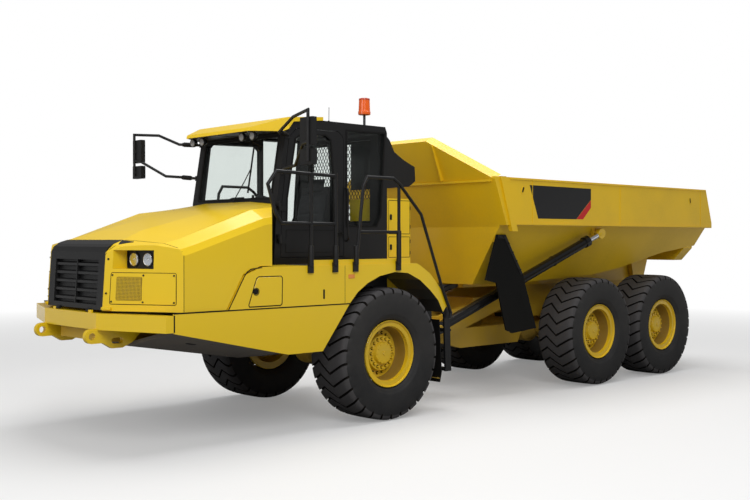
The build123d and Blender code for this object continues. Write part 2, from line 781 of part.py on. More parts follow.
grille_half_width = 600.0
grille_bottom_z = hood_bottom_z + 5.0
grille_depth = 70.0


def nose_face_x(z):
    """Where the steep nose stands at a height."""
    return hood_nose_x - (z - hood_bottom_z) * nose_lean


def grille_profile(depth, low_z, reach):
    """Side outline of the grille, rounding back over the hood's top, its front moved out by reach."""
    return [
        (nose_face_x(low_z) + reach, low_z),
        (hood_nose_x - 41.0 + reach, 1970.0),
        (hood_nose_x - 70.0 + reach, 2022.0 + reach),
        (hood_nose_x - 118.0, 2050.0 + reach),
        (hood_nose_x - 240.0, 2092.0 + reach),
        (hood_nose_x - 240.0, 2092.0 - depth),
        (hood_nose_x - 130.0, 2050.0 - depth),
        (hood_nose_x - 41.0 - depth, 1970.0),
        (nose_face_x(low_z) - depth, low_z),
    ]


with BuildPart() as hood:
    add(hood_outer)
    add(hood_inner, mode=Mode.SUBTRACT)
    add(lamp_pods.part)
    add(lamp_spaces.part, mode=Mode.SUBTRACT)
    with BuildSketch(Plane.XZ):
        Polygon(
            (front_axle_x + 1000.0, hood_bottom_z - 185.0),
            (fender_nose_x + 12.0, hood_bottom_z - 185.0),
            (fender_nose_x + 12.0, hood_bottom_z + 5.0),
            (fender_nose_x - 191.0, deck_z - 62.0),
            (fender_nose_x - 415.0, deck_z + 22.0),
            (front_axle_x + 1000.0, deck_z + 22.0),
            align=None,
        )
    extrude(amount=2 * fender_half_width, both=True, mode=Mode.SUBTRACT)
    with BuildSketch(Plane.XZ):
        Polygon(*grille_profile(grille_depth, hood_bottom_z - 50.0, 60.0), align=None)
    extrude(amount=grille_half_width, both=True, mode=Mode.SUBTRACT)
hood.part.label = "hood"
export_step(hood.part, "parts/hood.step")

# Headlamp units in the pockets, each with two round lenses
lamp_mid_z = (lamp_low_z + lamp_high_z) / 2
lens_root_x = lamp_near_x + lamp_depth - 3.0
lamp_fall = (lamp_near_x - lamp_far_x) / (lamp_far_y - lamp_near_y)
with BuildPart() as headlamps:
    with BuildSketch(Plane.XY.offset(lamp_low_z + seat_gap)):
        Polygon(
            (lamp_near_x + lamp_depth, lamp_near_y + seat_gap),
            (lamp_near_x + seat_gap, lamp_near_y + seat_gap),
            (lamp_far_x + seat_gap, lamp_far_y - seat_gap),
            (lamp_far_x + lamp_depth, lamp_far_y - seat_gap),
            align=None,
        )
    extrude(amount=lamp_high_z - lamp_low_z - 2 * seat_gap)
    for lens_y in (lamp_near_y + 105.0, lamp_far_y - 105.0):
        lens_centre = (lens_root_x - (lens_y - lamp_near_y) * lamp_fall, lens_y, lamp_mid_z)
        with BuildSketch(Plane(origin=lens_centre, x_dir=(0, 0, 1), z_dir=lamp_normal)):
            Circle(radius=76.0)
            Circle(radius=66.0, mode=Mode.SUBTRACT)
        extrude(amount=14.0)
        with BuildSketch(Plane(origin=lens_centre, x_dir=(0, 0, 1), z_dir=lamp_normal)):
            Circle(radius=60.0)
        extrude(amount=8.0)
    mirror(about=Plane.XZ)
headlamps.part.label = "headlamps"
export_step(headlamps.part, "parts/headlamps.step")

# Grille: steep frame that rounds back at the top, a recess, horizontal slats and one upright bar
grille_half = grille_half_width - seat_gap
slat_pitch = 88.0
slat_count = 5
recess_half = 470.0
recess_low_z = 1440.0
recess_high_z = 1890.0
recess_depth = 50.0
with BuildPart() as grille:
    with BuildSketch(Plane.XZ):
        Polygon(*grille_profile(grille_depth - seat_gap, grille_bottom_z, 0.0), align=None)
    extrude(amount=grille_half, both=True)
    with BuildSketch(Plane.XZ):
        Polygon(
            (nose_face_x(recess_low_z) + 20.0, recess_low_z),
            (nose_face_x(recess_high_z) + 20.0, recess_high_z),
            (nose_face_x(recess_high_z) - recess_depth, recess_high_z),
            (nose_face_x(recess_low_z) - recess_depth, recess_low_z),
            align=None,
        )
    extrude(amount=recess_half, both=True, mode=Mode.SUBTRACT)
    for slat in range(slat_count):
        slat_z = recess_low_z + slat_pitch * (slat + 0.3)
        with BuildSketch(Plane.XZ):
            Polygon(
                (nose_face_x(slat_z) - recess_depth - 2.0, slat_z),
                (nose_face_x(slat_z) - 12.0, slat_z + 8.0),
                (nose_face_x(slat_z) - 12.0, slat_z + 34.0),
                (nose_face_x(slat_z) - recess_depth - 2.0, slat_z + 46.0),
                align=None,
            )
        extrude(amount=recess_half + 5.0, both=True)
    with BuildSketch(Plane.XZ):
        Polygon(
            (nose_face_x(recess_low_z) - 6.0, recess_low_z - 2.0),
            (nose_face_x(recess_high_z) - 6.0, recess_high_z + 2.0),
            (nose_face_x(recess_high_z) - recess_depth - 2.0, recess_high_z + 2.0),
            (nose_face_x(recess_low_z) - recess_depth - 2.0, recess_low_z - 2.0),
            align=None,
        )
    extrude(amount=9.0, both=True)
    for knuckle_y in (-360.0 + hinge_knuckle / 2, 360.0 - hinge_knuckle / 2):
        with Locations((hood_hinge_x, knuckle_y, hood_hinge_z)):
            Cylinder(hinge_radius, hinge_knuckle, rotation=(90, 0, 0))
        with BuildSketch(Plane.XZ.offset(-knuckle_y - hinge_knuckle / 2)):
            Polygon(
                (hood_hinge_x + 8.0, hood_hinge_z + 9.0),
                (hood_nose_x - 15.0, hood_bottom_z + 30.0),
                (hood_nose_x - 45.0, hood_bottom_z + 10.0),
                (hood_hinge_x - 8.0, hood_hinge_z - 9.0),
                align=None,
            )
        extrude(amount=hinge_knuckle)
grille.part.label = "grille"
export_step(grille.part, "parts/grille.step")

# Cab shell: pillars, roof, floor and walls with the door and window openings cut
cab_base_z = 1450.0
cab_outline = ahead(
    [
        (1270.0, cab_base_z),
        (1270.0, 1850.0),
        (1230.0, 2530.0),
        (1095.0, cab_top_z - 140.0),
        (1020.0, cab_top_z - 50.0),
        (560.0, cab_top_z),
        (-440.0, cab_top_z),
        (-470.0, cab_top_z - 70.0),
        (-470.0, cab_base_z),
    ]
)
cab_cavity = ahead(
    [
        (1205.0, cab_base_z + cab_wall),
        (1205.0, 1850.0),
        (1168.0, 2530.0),
        (1038.0, cab_top_z - 160.0),
        (1000.0, cab_top_z - 110.0),
        (560.0, cab_top_z - cab_wall),
        (-400.0, cab_top_z - cab_wall),
        (-410.0, cab_top_z - 90.0),
        (-410.0, cab_base_z + cab_wall),
    ]
)
door_opening = ahead(
    [
        (1180.0, 1890.0),
        (1160.0, 2520.0),
        (1060.0, cab_top_z - 235.0),
        (1015.0, cab_top_z - 180.0),
        (950.0, cab_top_z - 115.0),
        (330.0, cab_top_z - 105.0),
        (262.0, cab_top_z - 150.0),
        (235.0, cab_top_z - 205.0),
        (235.0, 1890.0),
    ]
)
door_window = ahead(
    [
        (1087.0, 2285.0),
        (1080.0, 2560.0),
        (960.0, cab_top_z - 235.0),
        (900.0, cab_top_z - 190.0),
        (520.0, cab_top_z - 165.0),
        (440.0, cab_top_z - 215.0),
        (400.0, 2850.0),
        (400.0, 2285.0),
    ]
)
quarter_window = ahead(
    [
        (190.0, 2255.0),
        (190.0, cab_top_z - 90.0),
        (-430.0, cab_top_z - 80.0),
        (-360.0, 2390.0),
        (-290.0, 2255.0),
    ]
)
right_window = ahead(
    [
        (1110.0, 2290.0),
        (1095.0, 2520.0),
        (1000.0, cab_top_z - 245.0),
        (950.0, cab_top_z - 190.0),
        (300.0, cab_top_z - 175.0),
        (240.0, cab_top_z - 230.0),
        (240.0, 2290.0),
    ]
)
windshield_half = 730.0
windshield_low_z = 2560.0
windshield_high_z = cab_top_z - 210.0
rear_window_half = 600.0
rear_window_low_z = 2300.0
rear_window_high_z = cab_top_z - 140.0
with BuildPart() as cab_frame:
    with BuildSketch(Plane.XZ):
        Polygon(*cab_outline, align=None)
    extrude(amount=cab_half_width, both=True)
    with BuildSketch(Plane.XZ):
        Polygon(*cab_cavity, align=None)
    extrude(amount=cab_half_width - cab_wall, both=True, mode=Mode.SUBTRACT)
    with BuildSketch(Plane.XZ.offset(-cab_half_width - 10.0)):
        Polygon(*door_opening, align=None)
        Polygon(*quarter_window, align=None)
    extrude(amount=cab_wall + 40.0, mode=Mode.SUBTRACT)
    with BuildSketch(Plane.XZ.offset(cab_half_width + 10.0)):
        Polygon(*right_window, align=None)
        Polygon(*quarter_window, align=None)
    extrude(amount=-cab_wall - 40.0, mode=Mode.SUBTRACT)
    with Locations((front_axle_x + 1200.0, 0, (windshield_low_z + windshield_high_z) / 2)):
        Box(400.0, 2 * windshield_half, windshield_high_z - windshield_low_z, mode=Mode.SUBTRACT)
    with Locations((cab_rear_x, 0, (rear_window_low_z + rear_window_high_z) / 2)):
        Box(200.0, 2 * rear_window_half, rear_window_high_z - rear_window_low_z, mode=Mode.SUBTRACT)
    for mount_x in (1050.0, -300.0):
        for mount_y in (-390.0, 390.0):
            with Locations((front_axle_x + mount_x, mount_y, (1330.0 + seat_gap + cab_base_z) / 2)):
                Box(110.0, 110.0, cab_base_z - 1330.0 - seat_gap)
    for hinge_z in (2080.0, 2450.0):
        with Locations((front_axle_x + 1205.0, cab_half_width + 22.0, hinge_z + 45.0)):
            Cylinder(20.0, 50.0)
        with Locations((front_axle_x + 1215.0, cab_half_width + 10.0, hinge_z + 45.0)):
            Box(40.0, 30.0, 50.0)
cab_frame.part.label = "cab_frame"
export_step(cab_frame.part, "parts/cab_frame.step")

# Cab door with its window cut, hinged at the front pillar
with BuildPart() as cab_door:
    with BuildSketch(Plane.XZ.offset(-cab_half_width)):
        Polygon(*door_opening, align=None)
        offset(amount=-panel_gap, kind=Kind.INTERSECTION)
        Polygon(*door_window, align=None, mode=Mode.SUBTRACT)
    extrude(amount=cab_wall)
    for hinge_z in (2080.0, 2450.0):
        with Locations((front_axle_x + 1205.0, cab_half_width + 22.0, hinge_z - 5.3)):
            Cylinder(20.0, 50.0)
        with Locations((front_axle_x + 1160.0, cab_half_width + 13.8, hinge_z - 5.3)):
            Box(90.0, 26.0, 50.0)
        with Locations((front_axle_x + 1130.0, cab_half_width, hinge_z - 5.3)):
            Box(50.0, 30.0, 50.0)
cab_door.part.label = "cab_door"
export_step(cab_door.part, "parts/cab_door.step")

# Window panes
pane_thickness = 10.0
pane_y = cab_half_width - 20.0
with BuildPart() as door_glass:
    with BuildSketch(Plane.XZ.offset(-pane_y)):
        Polygon(*door_window, align=None)
        offset(amount=-seat_gap, kind=Kind.INTERSECTION)
    extrude(amount=pane_thickness)
door_glass.part.label = "door_glass"
export_step(door_glass.part, "parts/door_glass.step")

shield_slope = 135.0 / (cab_top_z - 140.0 - 2530.0)
shield_rise = windshield_high_z - windshield_low_z - 2 * seat_gap
with BuildPart() as cab_glass:
    with BuildSketch(Plane.XZ.offset(-pane_y)):
        Polygon(*quarter_window, align=None)
        offset(amount=-seat_gap, kind=Kind.INTERSECTION)
    extrude(amount=pane_thickness)
    with BuildSketch(Plane.XZ.offset(pane_y)):
        Polygon(*quarter_window, align=None)
        Polygon(*right_window, align=None)
        offset(amount=-seat_gap, kind=Kind.INTERSECTION)
    extrude(amount=-pane_thickness)
    with BuildSketch(Plane.XZ):
        Polygon(
            (front_axle_x + 1205.0, windshield_low_z + seat_gap),
            (front_axle_x + 1205.0 - shield_slope * shield_rise, windshield_high_z - seat_gap),
            (front_axle_x + 1193.0 - shield_slope * shield_rise, windshield_high_z - seat_gap),
            (front_axle_x + 1193.0, windshield_low_z + seat_gap),
            align=None,
        )
    extrude(amount=windshield_half - seat_gap, both=True)
    with Locations((cab_rear_x + 20.0, 0, (rear_window_low_z + rear_window_high_z) / 2)):
        Box(
            pane_thickness,
            2 * rear_window_half - 2 * seat_gap,
            rear_window_high_z - rear_window_low_z - 2 * seat_gap,
        )
cab_glass.part.label = "cab_glass"
export_step(cab_glass.part, "parts/cab_glass.step")

# Roof visor over the windshield
with BuildPart() as cab_roof:
    with BuildSketch(Plane.XZ):
        Polygon(
            *ahead(
                [
                    (1460.0, cab_top_z - 165.0),
                    (1440.0, cab_top_z - 125.0),
                    (1100.0, cab_top_z - 5.0),
                    (560.0, cab_top_z + 40.0),
                    (560.0, cab_top_z + seat_gap),
                    (1020.3, cab_top_z - 49.7),
                    (1095.5, cab_top_z - 139.7),
                    (1150.0, cab_top_z - 165.0),
                ]
            ),
            align=None,
        )
    extrude(amount=cab_half_width + 55.0, both=True)
    with BuildSketch(Plane.XY.offset(cab_top_z - 270.0)):
        Polygon(
            (front_axle_x + 500.0, cab_half_width + 5.0),
            (front_axle_x + 1090.0, cab_half_width + 45.0),
            (front_axle_x + 1470.0, 620.0),
            (front_axle_x + 1470.0, -620.0),
            (front_axle_x + 1090.0, -cab_half_width - 45.0),
            (front_axle_x + 500.0, -cab_half_width - 5.0),
            align=None,
        )
    extrude(amount=400.0, mode=Mode.INTERSECT)
cab_roof.part.label = "cab_roof"
export_step(cab_roof.part, "parts/cab_roof.step")

# Seat, dash and steering wheel
cab_inner_z = cab_base_z + cab_wall + seat_gap
with BuildPart() as cab_interior:
    with BuildSketch(Plane.XZ):
        Polygon(
            *ahead([(520.0, 1950.0), (520.0, 2080.0), (110.0, 2060.0)]),
            *ahead([(-30.0, 2750.0), (-140.0, 2750.0), (-70.0, 1950.0)]),
            align=None,
        )
    extrude(amount=260.0, both=True)
    with Locations((front_axle_x + 210.0, 0, (cab_inner_z + 1960.0) / 2)):
        Box(320.0, 320.0, 1960.0 - cab_inner_z)
    with BuildSketch(Plane.XZ):
        Polygon(
            *ahead([(1150.0, 2440.0), (1000.0, 2500.0), (850.0, 2420.0), (900.0, 2250.0)]),
            *ahead([(1050.0, 2200.0), (1050.0, cab_inner_z), (1180.0, cab_inner_z)]),
            align=None,
        )
    extrude(amount=520.0, both=True)
    with BuildSketch(Plane(origin=(front_axle_x + 720.0, 0, 2440.0), z_dir=(-0.75, 0, 0.66))):
        Circle(radius=215.0)
        Circle(radius=185.0, mode=Mode.SUBTRACT)
        Rectangle(400.0, 30.0)
        Circle(radius=45.0)
    extrude(amount=26.0)
    with BuildSketch(Plane(origin=(front_axle_x + 712.0, 0, 2440.0), z_dir=(-0.75, 0, 0.66))):
        Circle(radius=30.0)
    extrude(amount=-310.0)
cab_interior.part.label = "cab_interior"
export_step(cab_interior.part, "parts/cab_interior.step")


def tube_along(points, radius):
    """Round tube along straight runs with mitred corners."""
    with BuildPart() as tube:
        with BuildLine() as route:
            Polyline(*points)
        with BuildSketch(Plane(origin=route.line @ 0, z_dir=route.line % 0)):
            Circle(radius=radius)
        sweep(path=route.line, transition=Transition.RIGHT)
    return tube.part


# Walkway rails beside the cab
rail_tube = 19.0
walk_rail_y = fender_half_width + 20.0
front_rail_runs = [
    ahead(
        [
            (860.0, deck_z + 990.0),
            (1680.0, deck_z + 1010.0),
            (1790.0, deck_z + 870.0),
            (1690.0, deck_z + 570.0),
            (1610.0, deck_z + 470.0),
            (860.0, deck_z + 465.0),
        ]
    ),
    ahead([(860.0, deck_z), (860.0, deck_z + 1025.0)]),
    ahead([(1210.0, deck_z), (1210.0, deck_z + 1015.0)]),
]
rear_rail_runs = [
    ahead(
        [
            (560.0, deck_z),
            (450.0, deck_z + 900.0),
            (390.0, deck_z + 1000.0),
            (-20.0, deck_z + 1000.0),
            (-120.0, deck_z + 940.0),
            (-480.0, deck_z + 590.0),
            (-830.0, deck_z - 260.0),
            (-1000.0, deck_z - 600.0),
            (-985.0, deck_z - 670.0),
        ]
    ),
    ahead([(-110.0, deck_z), (-110.0, deck_z + 900.0)]),
    ahead([(500.0, deck_z + 380.0), (-110.0, deck_z + 380.0)]),
]
with BuildPart() as handrails:
    for rail_sides, runs, rail_feet in (
        # the rear rails stand on both sides, the one beside the hood on the left only
        ((1, -1), rear_rail_runs, (560.0, -110.0)),
        ((1,), front_rail_runs, (1210.0, 860.0)),
    ):
        for rail_side in rail_sides:
            for run in runs:
                add(tube_along([(x, rail_side * walk_rail_y, z) for x, z in run], rail_tube))
            for foot_x in rail_feet:
                foot_y = rail_side * (fender_half_width + 12.0 + seat_gap)
                with Locations((front_axle_x + foot_x, foot_y, deck_z - 10.0)):
                    Box(70.0, 24.0, 110.0)
handrails.part.label = "handrails"
export_step(handrails.part, "parts/handrails.step")

# Ladders behind the front wheels
ladder_inner_y = 1040.0
ladder_outer_y = 1375.0
stringer = 26.0
ladder_profile = ahead(
    [
        (-883.23, 1212.80),
        (-954.23, 1294.80),
        (-1030.0, 1200.0),
        (-1060.0, 480.0),
        (-960.0, 480.0),
        (-930.0, 1180.0),
    ]
)
with BuildPart() as ladders:
    with BuildSketch(Plane.XZ.offset(-ladder_outer_y)):
        Polygon(*ladder_profile, align=None)
    extrude(amount=stringer)
    with BuildSketch(Plane.XZ.offset(-ladder_inner_y - stringer)):
        Polygon(*ladder_profile, align=None)
    extrude(amount=stringer)
    for step_x, step_z in ((-1005.0, 500.0), (-1003.0, 740.0), (-1000.0, 980.0), (-985.0, 1220.0)):
        with Locations((front_axle_x + step_x, (ladder_inner_y + ladder_outer_y) / 2, step_z)):
            Box(110.0, ladder_outer_y - ladder_inner_y, 26.0)
    mirror(about=Plane.XZ)
ladders.part.label = "ladders"
export_step(ladders.part, "parts/ladders.step")

# Mirrors on their tube brackets
mirror_high_z = cab_top_z - 205.0
mirror_low_z = 2850.0
mirror_foot_y = cab_half_width + 23.0
mirror_runs = (
    [
        (1086.0, mirror_foot_y, mirror_high_z),
        (1320.0, 1005.0, mirror_high_z + 5.0),
        (1400.0, 1350.0, mirror_high_z + 135.0),
        (1520.0, 1745.0, mirror_high_z + 165.0),
        (1520.0, 1745.0, mirror_low_z + 50.0),
    ],
    [
        (1150.0, mirror_foot_y, mirror_low_z),
        (1290.0, 1050.0, mirror_low_z + 20.0),
        (1330.0, 1300.0, mirror_low_z + 40.0),
        (1500.0, 1640.0, mirror_low_z + 240.0),
        (1520.0, 1745.0, mirror_low_z + 250.0),
    ],
)
with BuildPart() as mirrors:
    for run in mirror_runs:
        add(tube_along([(front_axle_x + x, y, z) for x, y, z in run], 17.0))
    for clamp_x, clamp_z in ((1086.0, mirror_high_z), (1150.0, mirror_low_z)):
        with Locations((front_axle_x + clamp_x, cab_half_width + seat_gap + 15.0, clamp_z)):
            Box(50.0, 30.0, 60.0)
    with Locations((front_axle_x + 1480.0, 1700.0, mirror_high_z - 50.0)):
        Box(60.0, 200.0, 290.0)
    with Locations((front_axle_x + 1480.0, 1700.0, mirror_low_z + 100.0)):
        Box(60.0, 210.0, 160.0)
    mirror(about=Plane.XZ)
mirrors.part.label = "mirrors"
export_step(mirrors.part, "parts/mirrors.step")

# Beacon on its stem
with BuildPart() as beacon:
    with Locations((front_axle_x - 410.0, 500.0, cab_top_z + seat_gap)):
        Cylinder(16.0, 175.0, align=(Align.CENTER, Align.CENTER, Align.MIN))
        Cylinder(45.0, 14.0, align=(Align.CENTER, Align.CENTER, Align.MIN))
    with Locations((front_axle_x - 410.0, 500.0, cab_top_z + seat_gap + 170.0)):
        Cylinder(78.0, 50.0, align=(Align.CENTER, Align.CENTER, Align.MIN))
    with Locations((front_axle_x - 410.0, 500.0, cab_top_z + seat_gap + 215.0)):
        Cone(74.0, 68.0, 170.0, align=(Align.CENTER, Align.CENTER, Align.MIN))
beacon.part.label = "beacon"
export_step(beacon.part, "parts/beacon.step")

# Tanks and duct behind the cab
with BuildPart() as tank_cabinets:
    with Locations((front_axle_x - 680.0, 495.0, 1330.0 + seat_gap)):
        Box(400.0, 690.0, 1270.0, align=(Align.CENTER, Align.CENTER, Align.MIN))
    with Locations((front_axle_x - 680.0, -495.0, 1330.0 + seat_gap)):
        Box(400.0, 690.0, 900.0, align=(Align.CENTER, Align.CENTER, Align.MIN))
tank_cabinets.part.label = "tank_cabinets"
export_step(tank_cabinets.part, "parts/tank_cabinets.step")

with BuildPart() as air_duct:
    with BuildSketch(Plane.XZ.offset(-800.0)):
        Polygon(
            (cab_rear_x - seat_gap, cab_top_z - 70.0),
            *ahead([(-560.0, 3320.0), (-640.0, 3180.0), (-800.0, 3090.0)]),
            *ahead([(-1000.0, 3010.0), (-1010.0, 2830.0), (-900.0, 2760.0)]),
            (cab_rear_x - seat_gap, 2720.0),
            align=None,
        )
    extrude(amount=620.0)
air_duct.part.label = "air_duct"
export_step(air_duct.part, "parts/air_duct.step")

# Bed: outer tub less its load space, spill guard, posts, tail bolster, floor beams and hinge ears
bed_rise = (bed_slope_half - bed_floor_half) / (bed_rail_bottom_z - bed_floor_front_z)
bed_outer_side = ahead(
    [
        (-2100.0, bed_floor_front_z),
        (-2040.0, 2260.0),
        (-1790.0, 2870.0),
        (-1790.0, bed_top_z),
        (-7100.0, bed_top_z),
        (-7290.0, 2360.0),
        (-7290.0, 1990.0),
        (-6400.0, 1880.0),
        (-5420.0, 1650.0),
        (-4800.0, 1560.0),
        (-3250.0, bed_floor_front_z),
    ]
)
bed_inner_side = ahead(
    [
        (-2130.0, bed_floor_front_z + bed_plate),
        (-2070.0, 2260.0),
        (-1825.0, 2870.0),
        (-1825.0, bed_top_z + 40.0),
        (-7400.0, bed_top_z + 40.0),
        (-7400.0, 2004.0 + bed_plate),
        (-6400.0, 1880.0 + bed_plate),
        (-5420.0, 1650.0 + bed_plate),
        (-4800.0, 1560.0 + bed_plate),
        (-3250.0, bed_floor_front_z + bed_plate),
    ]
)
bed_outer_half = [
    (bed_floor_half - (bed_floor_front_z - 1300.0) * bed_rise, 1300.0),
    (bed_slope_half, bed_rail_bottom_z),
    (body_half_width, bed_rail_bottom_z),
    (body_half_width, 3000.0),
]
wall_shift = 34.0
bed_inner_half = [
    (bed_floor_half - (bed_floor_front_z - 1300.0) * bed_rise - wall_shift, 1300.0),
    (bed_slope_half - wall_shift, bed_rail_bottom_z),
    (body_half_width - bed_rail_width, bed_rail_bottom_z + 60.0),
    (body_half_width - bed_rail_width, 3000.0),
]
with BuildPart() as load_space:
    with BuildSketch(Plane.XZ):
        Polygon(*bed_inner_side, align=None)
    extrude(amount=2000.0, both=True)
    with BuildSketch(Plane.YZ.offset(front_axle_x - 7500.0)):
        Polygon(*mirrored_half(bed_inner_half), align=None)
    extrude(amount=6000.0, mode=Mode.INTERSECT)

guard_low = (front_axle_x - 1790.0, 2870.0)
guard_high = (front_axle_x - 1550.0, 3395.0)
guard_length = hypot(guard_high[0] - guard_low[0], guard_high[1] - guard_low[1])
guard_plane = Plane(
    origin=(guard_low[0], 0, guard_low[1]),
    x_dir=(0, 1, 0),
    z_dir=((guard_high[1] - guard_low[1]) / guard_length, 0, -(guard_high[0] - guard_low[0]) / guard_length),
)
flap_inner_y = bed_slope_half - 80.0
with BuildPart() as dump_body:
    with BuildSketch(Plane.XZ):
        Polygon(*bed_outer_side, align=None)
    extrude(amount=2000.0, both=True)
    with BuildSketch(Plane.YZ.offset(front_axle_x - 7500.0)):
        Polygon(*mirrored_half(bed_outer_half), align=None)
    extrude(amount=6000.0, mode=Mode.INTERSECT)
    add(load_space.part, mode=Mode.SUBTRACT)
    with BuildSketch(guard_plane):
        Polygon(
            (body_half_width - 10.0, -5.0),
            (460.0, guard_length),
            (-460.0, guard_length),
            (-body_half_width + 10.0, -5.0),
            align=None,
        )
    extrude(amount=-30.0)
    with BuildSketch(guard_plane):
        Polygon(
            (body_half_width - 10.0, -5.0),
            (460.0, guard_length),
            (-460.0, guard_length),
            (-body_half_width + 10.0, -5.0),
            align=None,
        )
        Polygon(
            (body_half_width - 110.0, -10.0),
            (450.0, guard_length - 34.0),
            (-450.0, guard_length - 34.0),
            (-body_half_width + 110.0, -10.0),
            align=None,
            mode=Mode.SUBTRACT,
        )
    extrude(amount=-150.0)
    with BuildSketch(Plane.XZ.offset(-body_half_width - 25.0)):
        Polygon(*ahead([(-1880.0, 2905.0), (-1990.0, 2905.0), (-2230.0, 2200.0), (-2120.0, 2200.0)]), align=None)
    extrude(amount=60.0)
    with BuildSketch(Plane.XZ.offset(body_half_width + 25.0)):
        Polygon(*ahead([(-1880.0, 2905.0), (-1990.0, 2905.0), (-2230.0, 2200.0), (-2120.0, 2200.0)]), align=None)
    extrude(amount=-60.0)
    with BuildSketch(Plane.YZ.offset(front_axle_x - 7250.0)):
        Polygon(*mirrored_half([(930.0, 1750.0), (1120.0, 1950.0), (1120.0, 2010.0)]), align=None)
    extrude(amount=260.0)
    for beam_side in (-405.0, 405.0):
        with BuildSketch(Plane.XZ.offset(-beam_side - 45.0)):
            Polygon(
                *ahead([(-2300.0, 1510.0), (-2300.0, frame_top_z + seat_gap)]),
                *ahead([(-6350.0, frame_top_z + seat_gap), (-6800.0, 1760.0), (-7000.0, 1990.0)]),
                *ahead([(-6400.0, 1895.0), (-5420.0, 1665.0), (-4800.0, 1570.0), (-3250.0, 1505.0)]),
                align=None,
            )
        extrude(amount=90.0)
    for ear_y in (-tip_ear_y, tip_ear_y):
        with BuildSketch(Plane.XZ.offset(-ear_y - 40.0)):
            Polygon(
                *ahead([(-6300.0, 1880.0), (-6440.0, 1350.0), (-6660.0, 1350.0)]),
                *ahead([(-6900.0, 1960.0), (-6400.0, 1890.0)]),
                align=None,
            )
            with Locations((tip_x, tip_z)):
                Circle(radius=110.0)
                Circle(radius=tip_pin_radius + running_gap, mode=Mode.SUBTRACT)
        extrude(amount=80.0)
    for eye_y in (-1, 1):
        with BuildSketch(Plane.XZ.offset(-eye_y * (hoist_pin[1] - 62.0))):
            with Locations((hoist_pin[0], hoist_pin[2])):
                Circle(radius=85.0)
            Polygon(
                (hoist_pin[0] - 85.0, hoist_pin[2]),
                (hoist_pin[0] + 85.0, hoist_pin[2]),
                (hoist_pin[0] + 150.0, bed_rail_bottom_z + 10.0),
                (hoist_pin[0] - 150.0, bed_rail_bottom_z + 10.0),
                align=None,
            )
        extrude(amount=46.0 * eye_y)
    for hanger_side in (-1, 1):
        with Locations((front_axle_x - 2140.0, hanger_side * (flap_inner_y - seat_gap - 60.0), 2105.0)):
            Box(150.0, 120.0, 90.0)
dump_body.part.label = "dump_body"
export_step(dump_body.part, "parts/dump_body.step")

# Rubber guards in front of the middle wheels
with BuildPart() as bed_flaps:
    with BuildSketch(Plane.XZ.offset(-flap_inner_y - 20.0)):
        Polygon(
            *ahead(
                [
                    (-2050.0, 2158.0),
                    (-2230.0, 2158.0),
                    (-2590.0, 1620.0),
                    (-2880.0, 890.0),
                    (-2370.0, 850.0),
                    (-2240.0, 900.0),
                    (-2040.0, 1530.0),
                    (-1824.0, 1570.0),
                ]
            ),
            align=None,
        )
    extrude(amount=20.0)
    mirror(about=Plane.XZ)
bed_flaps.part.label = "bed_flaps"
export_step(bed_flaps.part, "parts/bed_flaps.step")

# Hoist cylinders
hoist_barrel_start = 104.0
hoist_barrel_end = hoist_closed - 260.0
for side_name, side in (("left", 1), ("right", -1)):
    with BuildPart(hoist_planes[side]) as hoist_barrel:
        Cylinder(hoist_eye_radius, 70.0)
        with Locations((75.0, 0, 0)):
            Box(90.0, 116.0, 68.0)
        with Locations(((hoist_barrel_start + hoist_barrel_end) / 2, 0, 0)):
            Cylinder(hoist_barrel_radius, hoist_barrel_end - hoist_barrel_start, rotation=(0, 90, 0))
        with Locations((hoist_barrel_end - 40.0, 0, 0)):
            Cylinder(hoist_barrel_radius + 12.0, 80.0, rotation=(0, 90, 0))
        with Locations((hoist_barrel_end / 2 + 80.0, 0, 0)):
            Cylinder(
                hoist_rod_radius + running_gap,
                hoist_barrel_end - 120.0,
                rotation=(0, 90, 0),
                mode=Mode.SUBTRACT,
            )
        Sphere(hoist_ball_radius + running_gap, mode=Mode.SUBTRACT)
    hoist_barrel.part.label = f"hoist_barrel_{side_name}"
    export_step(hoist_barrel.part, f"parts/hoist_barrel_{side_name}.step")
    with BuildPart(hoist_planes[side]) as hoist_rod:
        with Locations(((170.0 + hoist_closed) / 2, 0, 0)):
            Cylinder(hoist_rod_radius, hoist_closed - 170.0, rotation=(0, 90, 0))
        with Locations((hoist_closed, 0, 0)):
            Cylinder(hoist_eye_radius - 8.0, 76.0)
    hoist_rod.part.label = f"hoist_rod_{side_name}"
    export_step(hoist_rod.part, f"parts/hoist_rod_{side_name}.step")
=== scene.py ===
import bmesh
import bpy
from math import cos, radians, sin, tau
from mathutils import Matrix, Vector
from mathutils.bvhtree import BVHTree


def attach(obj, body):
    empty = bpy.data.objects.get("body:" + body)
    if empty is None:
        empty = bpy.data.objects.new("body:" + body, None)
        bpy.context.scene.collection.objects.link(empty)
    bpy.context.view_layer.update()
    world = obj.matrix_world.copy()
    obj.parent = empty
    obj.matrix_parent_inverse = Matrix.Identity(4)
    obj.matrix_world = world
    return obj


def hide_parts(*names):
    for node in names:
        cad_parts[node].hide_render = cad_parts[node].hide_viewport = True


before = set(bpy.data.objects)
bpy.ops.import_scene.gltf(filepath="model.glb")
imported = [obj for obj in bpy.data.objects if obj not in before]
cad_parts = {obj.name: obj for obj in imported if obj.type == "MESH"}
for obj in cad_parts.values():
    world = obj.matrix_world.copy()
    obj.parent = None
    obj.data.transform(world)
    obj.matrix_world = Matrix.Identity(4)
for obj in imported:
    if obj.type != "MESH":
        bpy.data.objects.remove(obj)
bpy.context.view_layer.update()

# Photographer's stand: the camera's place and lens, and the pale studio around the machine.
# The floor runs to white in the distance; four large soft lamps and a pale sky light the paint.
# Places along the machine are counted from its front axle.
front = 1.945


